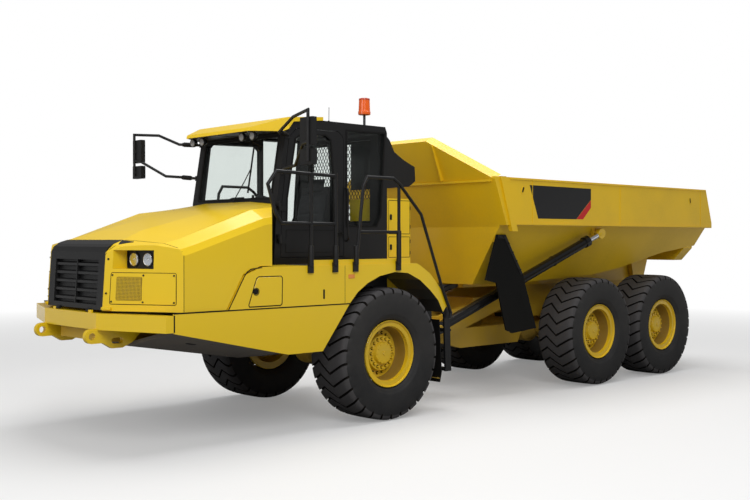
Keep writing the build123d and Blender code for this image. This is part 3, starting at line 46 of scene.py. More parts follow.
def feed(tree, node, inputs):
    """Gives a node its inputs: a socket is linked, anything else is a plain value."""
    for key, value in inputs.items():
        if isinstance(value, bpy.types.NodeSocket):
            tree.links.new(value, node.inputs[key])
        else:
            node.inputs[key].default_value = value


def add_node(tree, kind, inputs, **settings):
    """Adds a shader node with its settings and inputs."""
    node = tree.nodes.new("ShaderNode" + kind)
    for key, value in settings.items():
        setattr(node, key, value)
    feed(tree, node, inputs)
    return node


def maths(tree, operation, *values, **settings):
    """Adds a Math node on values or sockets, and gives its result."""
    return add_node(tree, "Math", dict(enumerate(values)), operation=operation, **settings).outputs[0]


def new_material(name):
    """Empty material with its node tree and its Principled node."""
    made = bpy.data.materials.new(name)
    made.use_nodes = True
    return made, made.node_tree, made.node_tree.nodes["Principled BSDF"]


white = (1.0, 1.0, 1.0, 1.0)
lens = bpy.data.cameras.new("camera")
lens.sensor_width = 36.0
lens.lens = 48.63
lens.clip_end = 200.0
camera = bpy.data.objects.new("camera", lens)
camera.location = (8.148 + front, 9.814, 2.102)
look_down, look_round = radians(-0.63), radians(226.82)
look = Vector((cos(look_down) * cos(look_round), cos(look_down) * sin(look_round), sin(look_down)))
camera.rotation_mode = "QUATERNION"
camera.rotation_quaternion = look.to_track_quat("-Z", "Y")
bpy.context.scene.collection.objects.link(camera)
bpy.context.scene.camera = camera
bpy.context.scene.view_settings.view_transform = "Standard"

sky = bpy.data.worlds.new("studio")
bpy.context.scene.world = sky
sky.use_nodes = True
sky.node_tree.nodes.clear()
sky_light = add_node(sky.node_tree, "Background", {"Color": white, "Strength": 0.25})
sky_white = add_node(sky.node_tree, "Background", {"Color": white, "Strength": 1.0})
sky_seen = add_node(sky.node_tree, "LightPath", {}).outputs["Is Camera Ray"]
sky_mix = add_node(
    sky.node_tree, "MixShader", {"Fac": sky_seen, 1: sky_light.outputs[0], 2: sky_white.outputs[0]}
)
add_node(sky.node_tree, "OutputWorld", {"Surface": sky_mix.outputs[0]})

for lamp_name, lamp_place, lamp_size, lamp_power in (
    ("key", (9.0, 12.0, 11.0), 8.0, 1180.0),
    ("front", (15.0, 1.0, 7.0), 7.0, 360.0),
    ("top", (-1.0, 0.0, 13.0), 10.0, 1500.0),
    ("far", (-9.0, -9.0, 8.0), 7.0, 180.0),
):
    lamp_data = bpy.data.lights.new(lamp_name, "AREA")
    lamp_data.size = lamp_size
    lamp_data.energy = lamp_power
    lamp = bpy.data.objects.new(lamp_name, lamp_data)
    lamp.location = lamp_place
    lamp.rotation_mode = "QUATERNION"
    lamp.rotation_quaternion = (Vector((0.0, 0.0, 1.2)) - Vector(lamp_place)).to_track_quat("-Z", "Y")
    bpy.context.scene.collection.objects.link(lamp)

floor_mesh = bpy.data.meshes.new("floor")
floor_mesh.from_pydata(
    [(-60.0, -60.0, 0.0), (60.0, -60.0, 0.0), (60.0, 60.0, 0.0), (-60.0, 60.0, 0.0)], [], [(0, 1, 2, 3)]
)
floor = bpy.data.objects.new("floor", floor_mesh)
bpy.context.scene.collection.objects.link(floor)
floor_finish, floor_tree, floor_base = new_material("floor")
feed(
    floor_tree,
    floor_base,
    {
        "Base Color": (0.6, 0.6, 0.6, 1.0), "Emission Color": white, "Emission Strength": 0.23,
        "Roughness": 0.55,
    },
)
floor_dim = add_node(floor_tree, "BsdfDiffuse", {"Color": (0.26, 0.26, 0.26, 1.0)})
floor_direct = add_node(floor_tree, "LightPath", {}).outputs["Is Camera Ray"]
floor_seen = add_node(
    floor_tree, "MixShader", {"Fac": floor_direct, 1: floor_dim.outputs[0], 2: floor_base.outputs[0]}
)
floor_white = add_node(floor_tree, "Emission", {"Color": white})
floor_place = add_node(floor_tree, "NewGeometry", {}).outputs["Position"]
floor_far = add_node(floor_tree, "VectorMath", {0: floor_place}, operation="LENGTH").outputs["Value"]
floor_fade = add_node(
    floor_tree, "MapRange", {"Value": floor_far, "From Min": 7.0, "From Max": 19.0}
).outputs["Result"]
floor_mix = add_node(
    floor_tree, "MixShader", {"Fac": floor_fade, 1: floor_seen.outputs[0], 2: floor_white.outputs[0]}
)
feed(floor_tree, floor_tree.nodes["Material Output"], {"Surface": floor_mix.outputs[0]})
floor_mesh.materials.append(floor_finish)

# Frames of the tractor and the load carrier: welded steel plate and box sections in satin yellow.
# The CAD rails get rounded edges and the dust that settles low down.


def shared_group(name, inputs, outputs):
    """Empty shader group with its sockets, and its input and output nodes."""
    group = bpy.data.node_groups.new(name, "ShaderNodeTree")
    for socket_name, socket_type, value in inputs:
        socket = group.interface.new_socket(socket_name, in_out="INPUT", socket_type=socket_type)
        socket.default_value = value
    for socket_name, socket_type in outputs:
        group.interface.new_socket(socket_name, in_out="OUTPUT", socket_type=socket_type)
    return group, group.nodes.new("NodeGroupInput"), group.nodes.new("NodeGroupOutput")


def weathering_group():
    """Shared effect: dust that settles with height, and patches of slightly different gloss."""
    tree, given, result = shared_group(
        "weathering",
        (
            ("Colour", "NodeSocketColor", (0.8, 0.5, 0.01, 1.0)),
            ("Dust colour", "NodeSocketColor", (0.3, 0.24, 0.17, 1.0)),
            ("Dust", "NodeSocketFloat", 0.3),
            ("Dust height", "NodeSocketFloat", 1.6),
            ("Gloss", "NodeSocketFloat", 0.3),
            ("Patch size", "NodeSocketFloat", 2.5),
        ),
        (("Colour", "NodeSocketColor"), ("Roughness", "NodeSocketFloat")),
    )
    want = given.outputs
    place = add_node(tree, "TexCoord", {}).outputs["Object"]
    height = add_node(tree, "SeparateXYZ", {0: place}).outputs["Z"]
    patches = add_node(
        tree, "TexNoise", {"Vector": place, "Scale": want["Patch size"], "Detail": 5.0}
    ).outputs["Fac"]
    speck = add_node(tree, "TexNoise", {"Vector": place, "Scale": 38.0, "Detail": 8.0}).outputs["Fac"]
    fall = add_node(
        tree, "MapRange", {"Value": height, "From Max": want["Dust height"], "To Min": 1.0, "To Max": 0.0}
    )
    blotch = add_node(
        tree, "MapRange", {"Value": patches, "From Min": 0.38, "From Max": 0.72}
    ).outputs["Result"]
    spots = maths(tree, "MULTIPLY", blotch, speck)
    low = maths(tree, "MULTIPLY_ADD", fall.outputs["Result"], 0.75, spots)
    amount = maths(tree, "MULTIPLY", low, want["Dust"], use_clamp=True)
    mix = add_node(
        tree, "Mix", {"Factor": amount, 6: want["Colour"], 7: want["Dust colour"]}, data_type="RGBA"
    )
    rough = maths(tree, "MULTIPLY_ADD", amount, 0.55, want["Gloss"])
    vary = maths(tree, "MULTIPLY_ADD", speck, 0.06, rough)
    feed(tree, result, {"Colour": mix.outputs[2], "Roughness": vary})
    return tree


weathering = weathering_group()


def finish_of(
    name,
    colour,
    gloss,
    dust=0.25,
    dust_colour=(0.3, 0.24, 0.17),
    dust_height=1.6,
    patch=2.5,
    coat=0.0,
    metal=0.0,
    shine=0.35,
    bump=0.02,
    grain=60.0,
    depth=0.002,
):
    """Finish with the shared weathering and a fine relief."""
    made, tree, base = new_material(name)
    group_inputs = {
        "Colour": (*colour, 1.0),
        "Dust colour": (*dust_colour, 1.0),
        "Dust": dust,
        "Dust height": dust_height,
        "Gloss": gloss,
        "Patch size": patch,
    }
    group = add_node(tree, "Group", group_inputs, node_tree=weathering)
    place = add_node(tree, "TexCoord", {}).outputs["Object"]
    relief = add_node(tree, "TexNoise", {"Vector": place, "Scale": grain, "Detail": 3.0}).outputs["Fac"]
    bumps = add_node(tree, "Bump", {"Strength": bump, "Distance": depth, "Height": relief}).outputs["Normal"]
    base_inputs = {
        "Metallic": metal,
        "Specular IOR Level": shine,
        "Coat Weight": coat,
        "Coat Roughness": 0.08,
        "Base Color": group.outputs["Colour"],
        "Roughness": group.outputs["Roughness"],
        "Normal": bumps,
    }
    feed(tree, base, base_inputs)
    return made


def dress(node, finish, edge, segments=2):
    """Gives a CAD node its finish and softens its edges."""
    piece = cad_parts[node]
    for material_slot in piece.material_slots:
        material_slot.material = finish
    if not piece.material_slots:
        piece.data.materials.append(finish)
    if edge:
        flat = piece.modifiers.new("flat faces", "DECIMATE")
        flat.decimate_type = "DISSOLVE"
        flat.angle_limit = radians(0.8)
        soft = piece.modifiers.new("soft edges", "BEVEL")
        soft.width = edge
        soft.segments = segments
        soft.limit_method = "ANGLE"
        soft.angle_limit = radians(28.0)
        soft.harden_normals = True
        soft.use_clamp_overlap = True


frame_yellow = finish_of(
    "frame yellow", (0.62, 0.38, 0.012), 0.42, dust=0.35, dust_height=1.5, bump=0.12, grain=90.0
)
for node in (
    "front_frame", "rear_frame", "walking_beams", "hitch_yoke", "front_axle", "middle_axle", "rear_axle"
):
    dress(node, frame_yellow, 0.005)

# Six off-road tyres: smooth dark sidewalls and thirty deep zigzag grooves across the tread.
# Each is one ring behind the flanges of its rim, with lighter grey lug tops, and the grooves painted near
# black as painted shade.
middle = front - 4.2
rear = middle - 1.7
tyre_y, axle_z = 1.1375, 0.77
both_sides = ((1.0, "left"), (-1.0, "right"))
wheel_centres = {
    f"{axle}_{side_name}": (axle_x, side * tyre_y, axle_z)
    for axle, axle_x in (("front", front), ("middle", middle), ("rear", rear))
    for side, side_name in both_sides
}

# Half of the section: across, radius, groove depth
tyre_rows = [
    (0.205, 0.394, 0.0), (0.226, 0.396, 0.0), (0.248, 0.405, 0.0), (0.268, 0.432, 0.0), (0.276, 0.452, 0.0),
    (0.283, 0.458, 0.0), (0.287, 0.474, 0.0), (0.295, 0.53, 0.0), (0.3, 0.592, 0.0), (0.298, 0.65, 0.0),
    (0.293, 0.69, 0.004), (0.288, 0.712, 0.016), (0.282, 0.736, 0.024), (0.27, 0.752, 0.029),
    (0.245, 0.763, 0.031), (0.2, 0.767, 0.031), (0.118, 0.769, 0.031), (0.05, 0.77, 0.031),
    (0.0, 0.77, 0.031),
]
tyre_rows = tyre_rows + [(-across, radius, depth) for across, radius, depth in reversed(tyre_rows[:-1])]
groove_count = 30
# Share of the pitch, down in the groove
groove_steps = ((0.0, 0.0), (0.03, 1.0), (0.16, 1.0), (0.19, 0.0), (0.45, 0.0), (0.73, 0.0))


def zigzag(across):
    """How far round the tyre a groove has moved at this place across it, in pitches."""
    knots = ((-1.0, 0.0), (-0.42, 0.62), (0.178, -0.25), (1.0, 0.52))
    t = max(-1.0, min(1.0, across / 0.281))
    for (t0, v0), (t1, v1) in zip(knots, knots[1:]):
        if t <= t1:
            return v0 + (v1 - v0) * (t - t0) / (t1 - t0)
    return knots[-1][1]


def skin_between(shape, rings, close_ends=True, closed=False):
    """Joins rings of places with faces, and closes the two ends."""
    rows = [[shape.verts.new(place) for place in ring] for ring in rings]
    for low, high in list(zip(rows, rows[1:])) + ([(rows[-1], rows[0])] if closed else []):
        for i in range(len(low)):
            j = (i + 1) % len(low)
            shape.faces.new((low[i], low[j], high[j], high[i]))
    if close_ends and not closed:
        shape.faces.new(rows[0][::-1])
        shape.faces.new(rows[-1])


def finish_mesh(name, shape, smooth=32.0):
    """Turns a mesh in making into a mesh with smooth faces and sharp edges."""
    mesh = bpy.data.meshes.new(name)
    for face in shape.faces:
        face.smooth = True
    shape.to_mesh(mesh)
    shape.free()
    mesh.set_sharp_from_angle(angle=radians(smooth))
    return mesh


def tyre_mesh(side):
    """Tyre whose outer face looks to +Y or -Y."""
    rings = []
    for across, radius, depth in tyre_rows:
        ring = []
        for pitch in range(groove_count):
            for share, down in groove_steps:
                turn = tau * (pitch + share + zigzag(across)) / groove_count
                reach = radius - depth * down
                ring.append((reach * cos(turn), side * across, reach * sin(turn)))
        rings.append(ring)
    shape = bmesh.new()
    skin_between(shape, rings, closed=True)
    bmesh.ops.recalc_face_normals(shape, faces=shape.faces)
    mesh = finish_mesh("tyre", shape, 40.0)
    around = groove_count * len(groove_steps)
    for face in mesh.polygons:
        row, place = divmod(face.index, around)
        # Groove faces take the near-black painted shade; the other tread faces take the lighter grey.
        if tyre_rows[row][2] + tyre_rows[(row + 1) % len(tyre_rows)][2] > 0.03:
            face.material_index = 1 if place % len(groove_steps) < 3 else 2
    return mesh


def add_piece(name, mesh, finish, body, place=(0.0, 0.0, 0.0), stands_for=()):
    """Puts a mesh into the machine as a piece that moves with a body."""
    piece = bpy.data.objects.new(name, mesh)
    piece.location = place
    bpy.context.scene.collection.objects.link(piece)
    if not mesh.materials:
        mesh.materials.append(finish)
    if stands_for:
        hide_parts(*stands_for)
    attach(piece, body)
    return piece


tyre_rubber = finish_of(
    "tyre rubber", (0.017, 0.017, 0.0175), 0.62, dust=0.14, dust_colour=(0.11, 0.1, 0.09), dust_height=-0.2,
    patch=7.0, bump=0.25, grain=45.0, depth=0.003,
)
tyre_left = tyre_mesh(1)
tyre_right = tyre_mesh(-1)
for wheel, centre in wheel_centres.items():
    mesh = tyre_left if centre[1] > 0 else tyre_right
    add_piece("tread_" + wheel, mesh, tyre_rubber, "wheel_" + wheel, centre, ("tyre_" + wheel,))
# Near-black rubber for the grooves: painted shade.
groove_painted_shade = finish_of(
    "groove painted shade", (0.004, 0.004, 0.004), 0.8, dust=0.03, shine=0.1, bump=0.2, grain=45.0
)
lug_grey = finish_of(
    "lug grey", (0.05, 0.048, 0.051), 0.7, dust=0.16, dust_colour=(0.13, 0.12, 0.11), patch=7.0, bump=0.3,
    grain=45.0, depth=0.003,
)
for mesh in (tyre_left, tyre_right):
    mesh.materials.append(groove_painted_shade)
    mesh.materials.append(lug_grey)

# Rims: pressed and welded steel with a flange, a lock ring, a deep well and a hub with its studs.
# The hub's domed cover carries a ring of small bolts; all is in the machine's yellow, with painted shade in
# the holes, the lock ring's grooves and the deep well.
ahead, leftward, upward = (1.0, 0.0, 0.0), (0.0, 1.0, 0.0), (0.0, 0.0, 1.0)

# Section from the back to the hub's cover: radius, across
rim_profile = (
    (0.0728, -0.12), (0.205, -0.12), (0.205, 0.0), (0.3, 0.0), (0.3, -0.246), (0.384, -0.25), (0.388, -0.246),
    (0.388, -0.228), (0.32, -0.226), (0.318, -0.2), (0.318, 0.2), (0.32, 0.226), (0.388, 0.228),
    (0.388, 0.246), (0.384, 0.25), (0.377, 0.246), (0.37, 0.226), (0.365, 0.207), (0.359, 0.202),
    (0.353, 0.207), (0.35, 0.213), (0.342, 0.211), (0.336, 0.193), (0.327, 0.18), (0.322, 0.176),
    (0.32, 0.183), (0.313, 0.183), (0.31, 0.17), (0.302, 0.12), (0.298, 0.06), (0.286, 0.034), (0.262, 0.028),
    (0.214, 0.03), (0.209, 0.04), (0.207, 0.092), (0.202, 0.101), (0.196, 0.104), (0.134, 0.106),
    (0.131, 0.11), (0.128, 0.138), (0.122, 0.146), (0.11, 0.15), (0.06, 0.154), (0.012, 0.155),
)


def ring_of(count, reach, across):
    """Places round the wheel's axle, at a reach from it and a place along it."""
    return [(reach * cos(tau * i / count), across, reach * sin(tau * i / count)) for i in range(count)]


def add_bolts(shape, places, radius, height, axis, sides=6, dome=0.35):
    """Joins bolt heads to a mesh in making: a hexagon with a chamfered top at each place."""
    turn = Vector(upward).rotation_difference(Vector(axis).normalized())
    for place in places:
        rings = []
        for scale, rise in ((1.0, -0.2), (1.0, 1.0 - dome), (1.0 - 0.35 * dome, 1.0)):
            reach = radius * scale
            corners = [(reach * cos(tau * i / sides), reach * sin(tau * i / sides)) for i in range(sides)]
            rings.append(
                [shape.verts.new(Vector(place) + turn @ Vector((u, v, height * rise))) for u, v in corners]
            )
        for low, high in zip(rings, rings[1:]):
            for i in range(sides):
                j = (i + 1) % sides
                shape.faces.new((low[i], low[j], high[j], high[i]))
        shape.faces.new(rings[-1])


def rim_mesh(side):
    """Rim with its hub, studs, cover bolts and air valve."""
    shape = bmesh.new()
    skin_between(
        shape, [ring_of(72, radius, side * across) for radius, across in rim_profile], close_ends=False
    )
    bmesh.ops.recalc_face_normals(shape, faces=shape.faces)
    out = (0.0, float(side), 0.0)
    for count, reach, across, size, height in (
        (16, 0.168, 0.104, 0.0135, 0.026), (12, 0.113, 0.1485, 0.0075, 0.009), (20, 0.24, 0.031, 0.009, 0.014)
    ):
        add_bolts(shape, ring_of(count, reach, side * across), size, height, out)
    # Thin near-black discs at two bolt rings stand for holes as painted shade; faces in the lock ring's
    # grooves get the same painted shade, and the deep well a darker yellow painted shade.
    before = len(shape.faces)
    add_bolts(shape, ring_of(20, 0.24, side * 0.0292), 0.02, 0.0022, out, 14, 0.1)
    add_bolts(shape, ring_of(16, 0.168, side * 0.1052), 0.0195, 0.0012, out, 14, 0.1)
    shape.faces.ensure_lookup_table()
    for face in shape.faces[before:]:
        face.material_index = 1
    for face in shape.faces[:before]:
        centre = face.calc_center_median()
        reach = (centre.x**2 + centre.z**2) ** 0.5
        if side * centre.y > 0.16 and (0.3195 < reach < 0.3265 or 0.354 < reach < 0.364):
            face.material_index = 1
        elif side * centre.y > 0.02 and 0.28 < reach < 0.3115:
            face.material_index = 2
    add_bolts(shape, [(0.0, side * 0.153, 0.0)], 0.028, 0.01, out, 8)
    add_bolts(shape, [(0.296 * cos(1.25), side * 0.1, 0.296 * sin(1.25))], 0.008, 0.06, out, 8)
    return finish_mesh("rim", shape)


rim_yellow = finish_of(
    "rim yellow", (0.8, 0.52, 0.01), 0.32, dust=0.14, dust_colour=(0.22, 0.17, 0.1), dust_height=-0.1,
    patch=9.0, coat=0.25, bump=0.05, grain=110.0,
)
rim_left = rim_mesh(1)
rim_right = rim_mesh(-1)
for wheel, centre in wheel_centres.items():
    mesh = rim_left if centre[1] > 0 else rim_right
    add_piece("hub_" + wheel, mesh, rim_yellow, "wheel_" + wheel, centre, ("rim_" + wheel,))
# Near-black painted shade for the holes and grooves, and a darker yellow painted shade for the deep well.
hole_painted_shade = finish_of("rim hole painted shade", (0.01, 0.007, 0.003), 0.7, dust=0.0, shine=0.1)
well_shade = finish_of("rim well", (0.3, 0.175, 0.008), 0.4, dust=0.12, patch=9.0, bump=0.05, grain=110.0)
for mesh in (rim_left, rim_right):
    mesh.materials.append(hole_painted_shade)
    mesh.materials.append(well_shade)

# Front bumper: a bent box section in gloss yellow with two tow plates under it.
# The CAD plates carry the eyes; the black seals of the gaps are added here.


def plate_outline(half_u, half_v, corner, steps=4, at=(0.0, 0.0)):
    """Rectangle with rounded corners, anticlockwise about its middle, which lies at a place."""
    points = []
    for u, v, start in (
        (half_u - corner, corner - half_v, -90.0), (half_u - corner, half_v - corner, 0.0),
        (corner - half_u, half_v - corner, 90.0), (corner - half_u, corner - half_v, 180.0),
    ):
        for step in range(steps + 1):
            turn = radians(start + 90.0 * step / steps)
            points.append((at[0] + (u + corner * cos(turn)), at[1] + (v + corner * sin(turn))))
    return points


def inset_outline(points, distance):
    """Outline moved inwards by a distance, whichever way round it runs."""
    area = sum(a[0] * b[1] - b[0] * a[1] for a, b in zip(points, points[1:] + points[:1]))
    turn = 1.0 if area > 0 else -1.0
    moved = []
    for before, here, after in zip(points[-1:] + points[:-1], points, points[1:] + points[:1]):
        first = (Vector(here) - Vector(before)).normalized()
        second = (Vector(after) - Vector(here)).normalized()
        lean = Vector((-first.y - second.y, first.x + second.x)) * turn
        moved.append(tuple(Vector(here) + lean * distance / max(0.35, 1.0 + first.dot(second))))
    return moved


def flat_seat(origin, across, up):
    """Puts plan points on a flat seat: across, up and out of it."""
    start = Vector(origin)
    u_axis = Vector(across).normalized()
    w_axis = u_axis.cross(Vector(up)).normalized()
    v_axis = w_axis.cross(u_axis)
    return lambda u, v, w: start + u_axis * u + v_axis * v + w_axis * w


def side_seat(side):
    """Puts places on one side of the machine: ahead of the front axle, outwards and above the ground."""
    return lambda x, y, z: Vector((front + x, side * y, z))


def on(seat, *places):
    """Several places on a seat."""
    return [seat(*place) for place in places]


def skin_seat(node, view):
    """Puts plan points on the skin of a CAD node, seen from the front, a side, above or below."""
    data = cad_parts[node].data
    tree = BVHTree.FromPolygons(
        [vertex.co for vertex in data.vertices], [face.vertices for face in data.polygons]
    )
    start, way = {
        "front": (lambda u, v: Vector((9.0, u, v)), Vector((-1.0, 0.0, 0.0))),
        "left": (lambda u, v: Vector((u, 4.0, v)), Vector((0.0, -1.0, 0.0))),
        "right": (lambda u, v: Vector((u, -4.0, v)), Vector(leftward)),
        "above": (lambda u, v: Vector((u, v, 6.0)), Vector((0.0, 0.0, -1.0))),
        "below": (lambda u, v: Vector((u, v, -1.0)), Vector(upward)),
    }[view]

    def put(u, v, w):
        tries = [
            tree.ray_cast(start(u + du, v + dv), way) for du, dv in ((0.0, 0.0), (4e-4, 3e-4), (-3e-4, 5e-4))
        ]
        hits = [found for found in tries if found[0] is not None]
        if hits:
            place, normal, _, _ = min(hits, key=lambda found: found[3])
        else:
            place, normal, _, _ = tree.find_nearest(start(u, v) + way * 7.0)
        if normal.dot(way) > 0:
            normal = -normal
        return place + normal * w

    return put


def add_plate(shape, put, outline, low, high, edge=0.002):
    """Joins a plate with a softened rim to a mesh in making."""
    inner = inset_outline(outline, edge)
    skin_between(shape, [
        [put(u, v, low) for u, v in outline], [put(u, v, high - edge) for u, v in outline],
        [put(u, v, high) for u, v in inner],
    ])


def add_band(shape, put, outline, width, low, high):
    """Joins a closed band, such as a gasket or a seam, that lies inside an outline."""
    inner = inset_outline(outline, width)
    skin_between(shape, [
        [put(u, v, low) for u, v in outline], [put(u, v, high) for u, v in outline],
        [put(u, v, high) for u, v in inner], [put(u, v, low) for u, v in inner],
    ], closed=True)


def add_run(shape, points, half_width, half_height=None, up=upward, sides=0):
    """Joins a bar along a path to a mesh in making: round with a number of sides, or flat."""
    path = [Vector(point) for point in points]
    if sides:
        section = [
            (half_width * cos(tau * i / sides), half_width * sin(tau * i / sides)) for i in range(sides)
        ]
    else:
        section = [
            (half_width, -half_height), (half_width, half_height), (-half_width, half_height),
            (-half_width, -half_height),
        ]
    rings = []
    for index, place in enumerate(path):
        first = (place - path[index - 1]).normalized() if index else None
        second = (path[index + 1] - place).normalized() if index + 1 < len(path) else None
        along = ((first or second) + (second or first)).normalized()
        across = along.cross(Vector(up))
        across = (across if across.length > 0.05 else along.cross(Vector(ahead))).normalized()
        rise = across.cross(along).normalized()
        stretch = 1.0 / max(0.5, along.dot(second or first))
        turn = ((second or first) - (first or second)).normalized() if first and second else Vector()
        ring = []
        for s, t in section:
            arm = across * s + rise * t
            ring.append(place + arm + turn * arm.dot(turn) * (stretch - 1.0))
        rings.append(ring)
    skin_between(shape, rings)


def curved_path(points, steps=6):
    """Points of a smooth path through the given ones."""
    ends = [points[0]] + list(points) + [points[-1]]
    path = []
    for a, b, c, d in zip(ends, ends[1:], ends[2:], ends[3:]):
        a, b, c, d = Vector(a), Vector(b), Vector(c), Vector(d)
        for step in range(steps):
            t = step / steps
            path.append(
                0.5 * (
                    2 * b + (c - a) * t + (2 * a - 5 * b + 4 * c - d) * t * t + (3 * b - a - 3 * c + d) * t**3
                )
            )
    path.append(Vector(points[-1]))
    return path


def finish_piece(name, shape, finish, body, smooth=32.0):
    """Ends a mesh in making and puts it into the machine as a piece."""
    bmesh.ops.recalc_face_normals(shape, faces=shape.faces)
    return add_piece(name, finish_mesh(name, shape, smooth), finish, body)


paint = finish_of("yellow paint", (0.84, 0.565, 0.01), 0.3, dust=0.04, coat=0.18, bump=0.015, grain=140.0)
seal_black = finish_of("seal black", (0.005, 0.005, 0.005), 0.6, dust=0.01, shine=0.2, bump=0.1, grain=120.0)
bolt_black = finish_of("blackened bolts", (0.008, 0.008, 0.008), 0.38, dust=0.02, metal=0.4, bump=0.05)
dress("front_bumper", paint, 0.008, 3)
seals = bmesh.new()
for side in (1.0, -1.0):
    here = side_seat(side)
    add_run(seals, on(here, (2.897, 1.3985, 1.2), (2.897, 1.3985, 1.362)), 0.007, 0.004, (0.0, side, 0.0))
    add_run(seals, on(here, (2.9, 1.3965, 1.3805), (2.262, 1.3965, 1.3805)), 0.007, 0.005, (0.0, side, 0.0))
    add_run(seals, on(here, (2.262, 1.3985, 1.3805), (0.64, 1.3985, 1.3805)), 0.0065, 0.003, (0.0, side, 0.0))
finish_piece("body_seals", seals, seal_black, "tractor")

# Belly guard: a bent plate in worn grey-brown primer, scraped and dusty, under the engine.
# Round-headed bolts hold it to the frame, and the oval drain holes are thin black plates, painted shade
# standing for the openings.
guard_grey = finish_of(
    "guard grey", (0.115, 0.105, 0.095), 0.6, dust=0.25, dust_height=2.4, patch=3.0, bump=0.35, grain=30.0
)
dress("belly_guard", guard_grey, 0.005)
guard_hole_shade = bmesh.new()
guard_bolts = bmesh.new()
seat = skin_seat("belly_guard", "below")
for side in (1.0, -1.0):
    # Drain holes: thin black plates on the guard's underside, painted shade in place of openings.
    for hole_x, hole_y in ((2.44, 0.98), (1.36, 0.93), (1.9, 0.3)):
        hole = plate_outline(0.06, 0.03, 0.029, 6, (front + hole_x, side * hole_y))
        add_plate(guard_hole_shade, seat, hole, -0.002, 0.0015, 0.001)
    for bolt_x, bolt_y in ((2.58, 0.55), (2.2, 0.62), (1.75, 0.62), (1.25, 0.62), (2.28, 1.12), (1.52, 1.12)):
        head = seat(front + bolt_x, side * bolt_y, 0.0)
        add_bolts(guard_bolts, [head], 0.015, 0.01, seat(front + bolt_x, side * bolt_y, 1.0) - head, 10, 0.6)
finish_piece("guard_hole_shade", guard_hole_shade, seal_black, "tractor")
finish_piece("guard_bolts", guard_bolts, guard_grey, "tractor")

# Side skirts: flat yellow panels from the bumper back to the wheel arch.
# A narrow shadow gap parts them from the hood and the fenders above.
dress("side_skirts", paint, 0.004)

# Fenders with the walkway deck: pressed panels with a thick lip over the wheel.
# The fenders' faces that look down are painted near black as painted shade under the arch; an access door,
# reflector, slot, seam and the deck's grip mats are added.


def masked_copy(finish, name, colour):
    """Copy of a finish with a second colour; the mix node's Factor says where that lies."""
    made = finish.copy()
    made.name = name
    tree = made.node_tree
    base = tree.nodes["Principled BSDF"]
    first = base.inputs["Base Color"].links[0].from_socket
    mix = add_node(tree, "Mix", {6: first, 7: (*colour, 1.0)}, data_type="RGBA")
    feed(tree, base, {"Base Color": mix.outputs[2]})
    return made, tree, mix


def fender_seat(side):
    """Puts points on the outer face of a fender: along, up and out."""
    return lambda x, z, w: Vector((front + x, side * (1.4 + w), z))


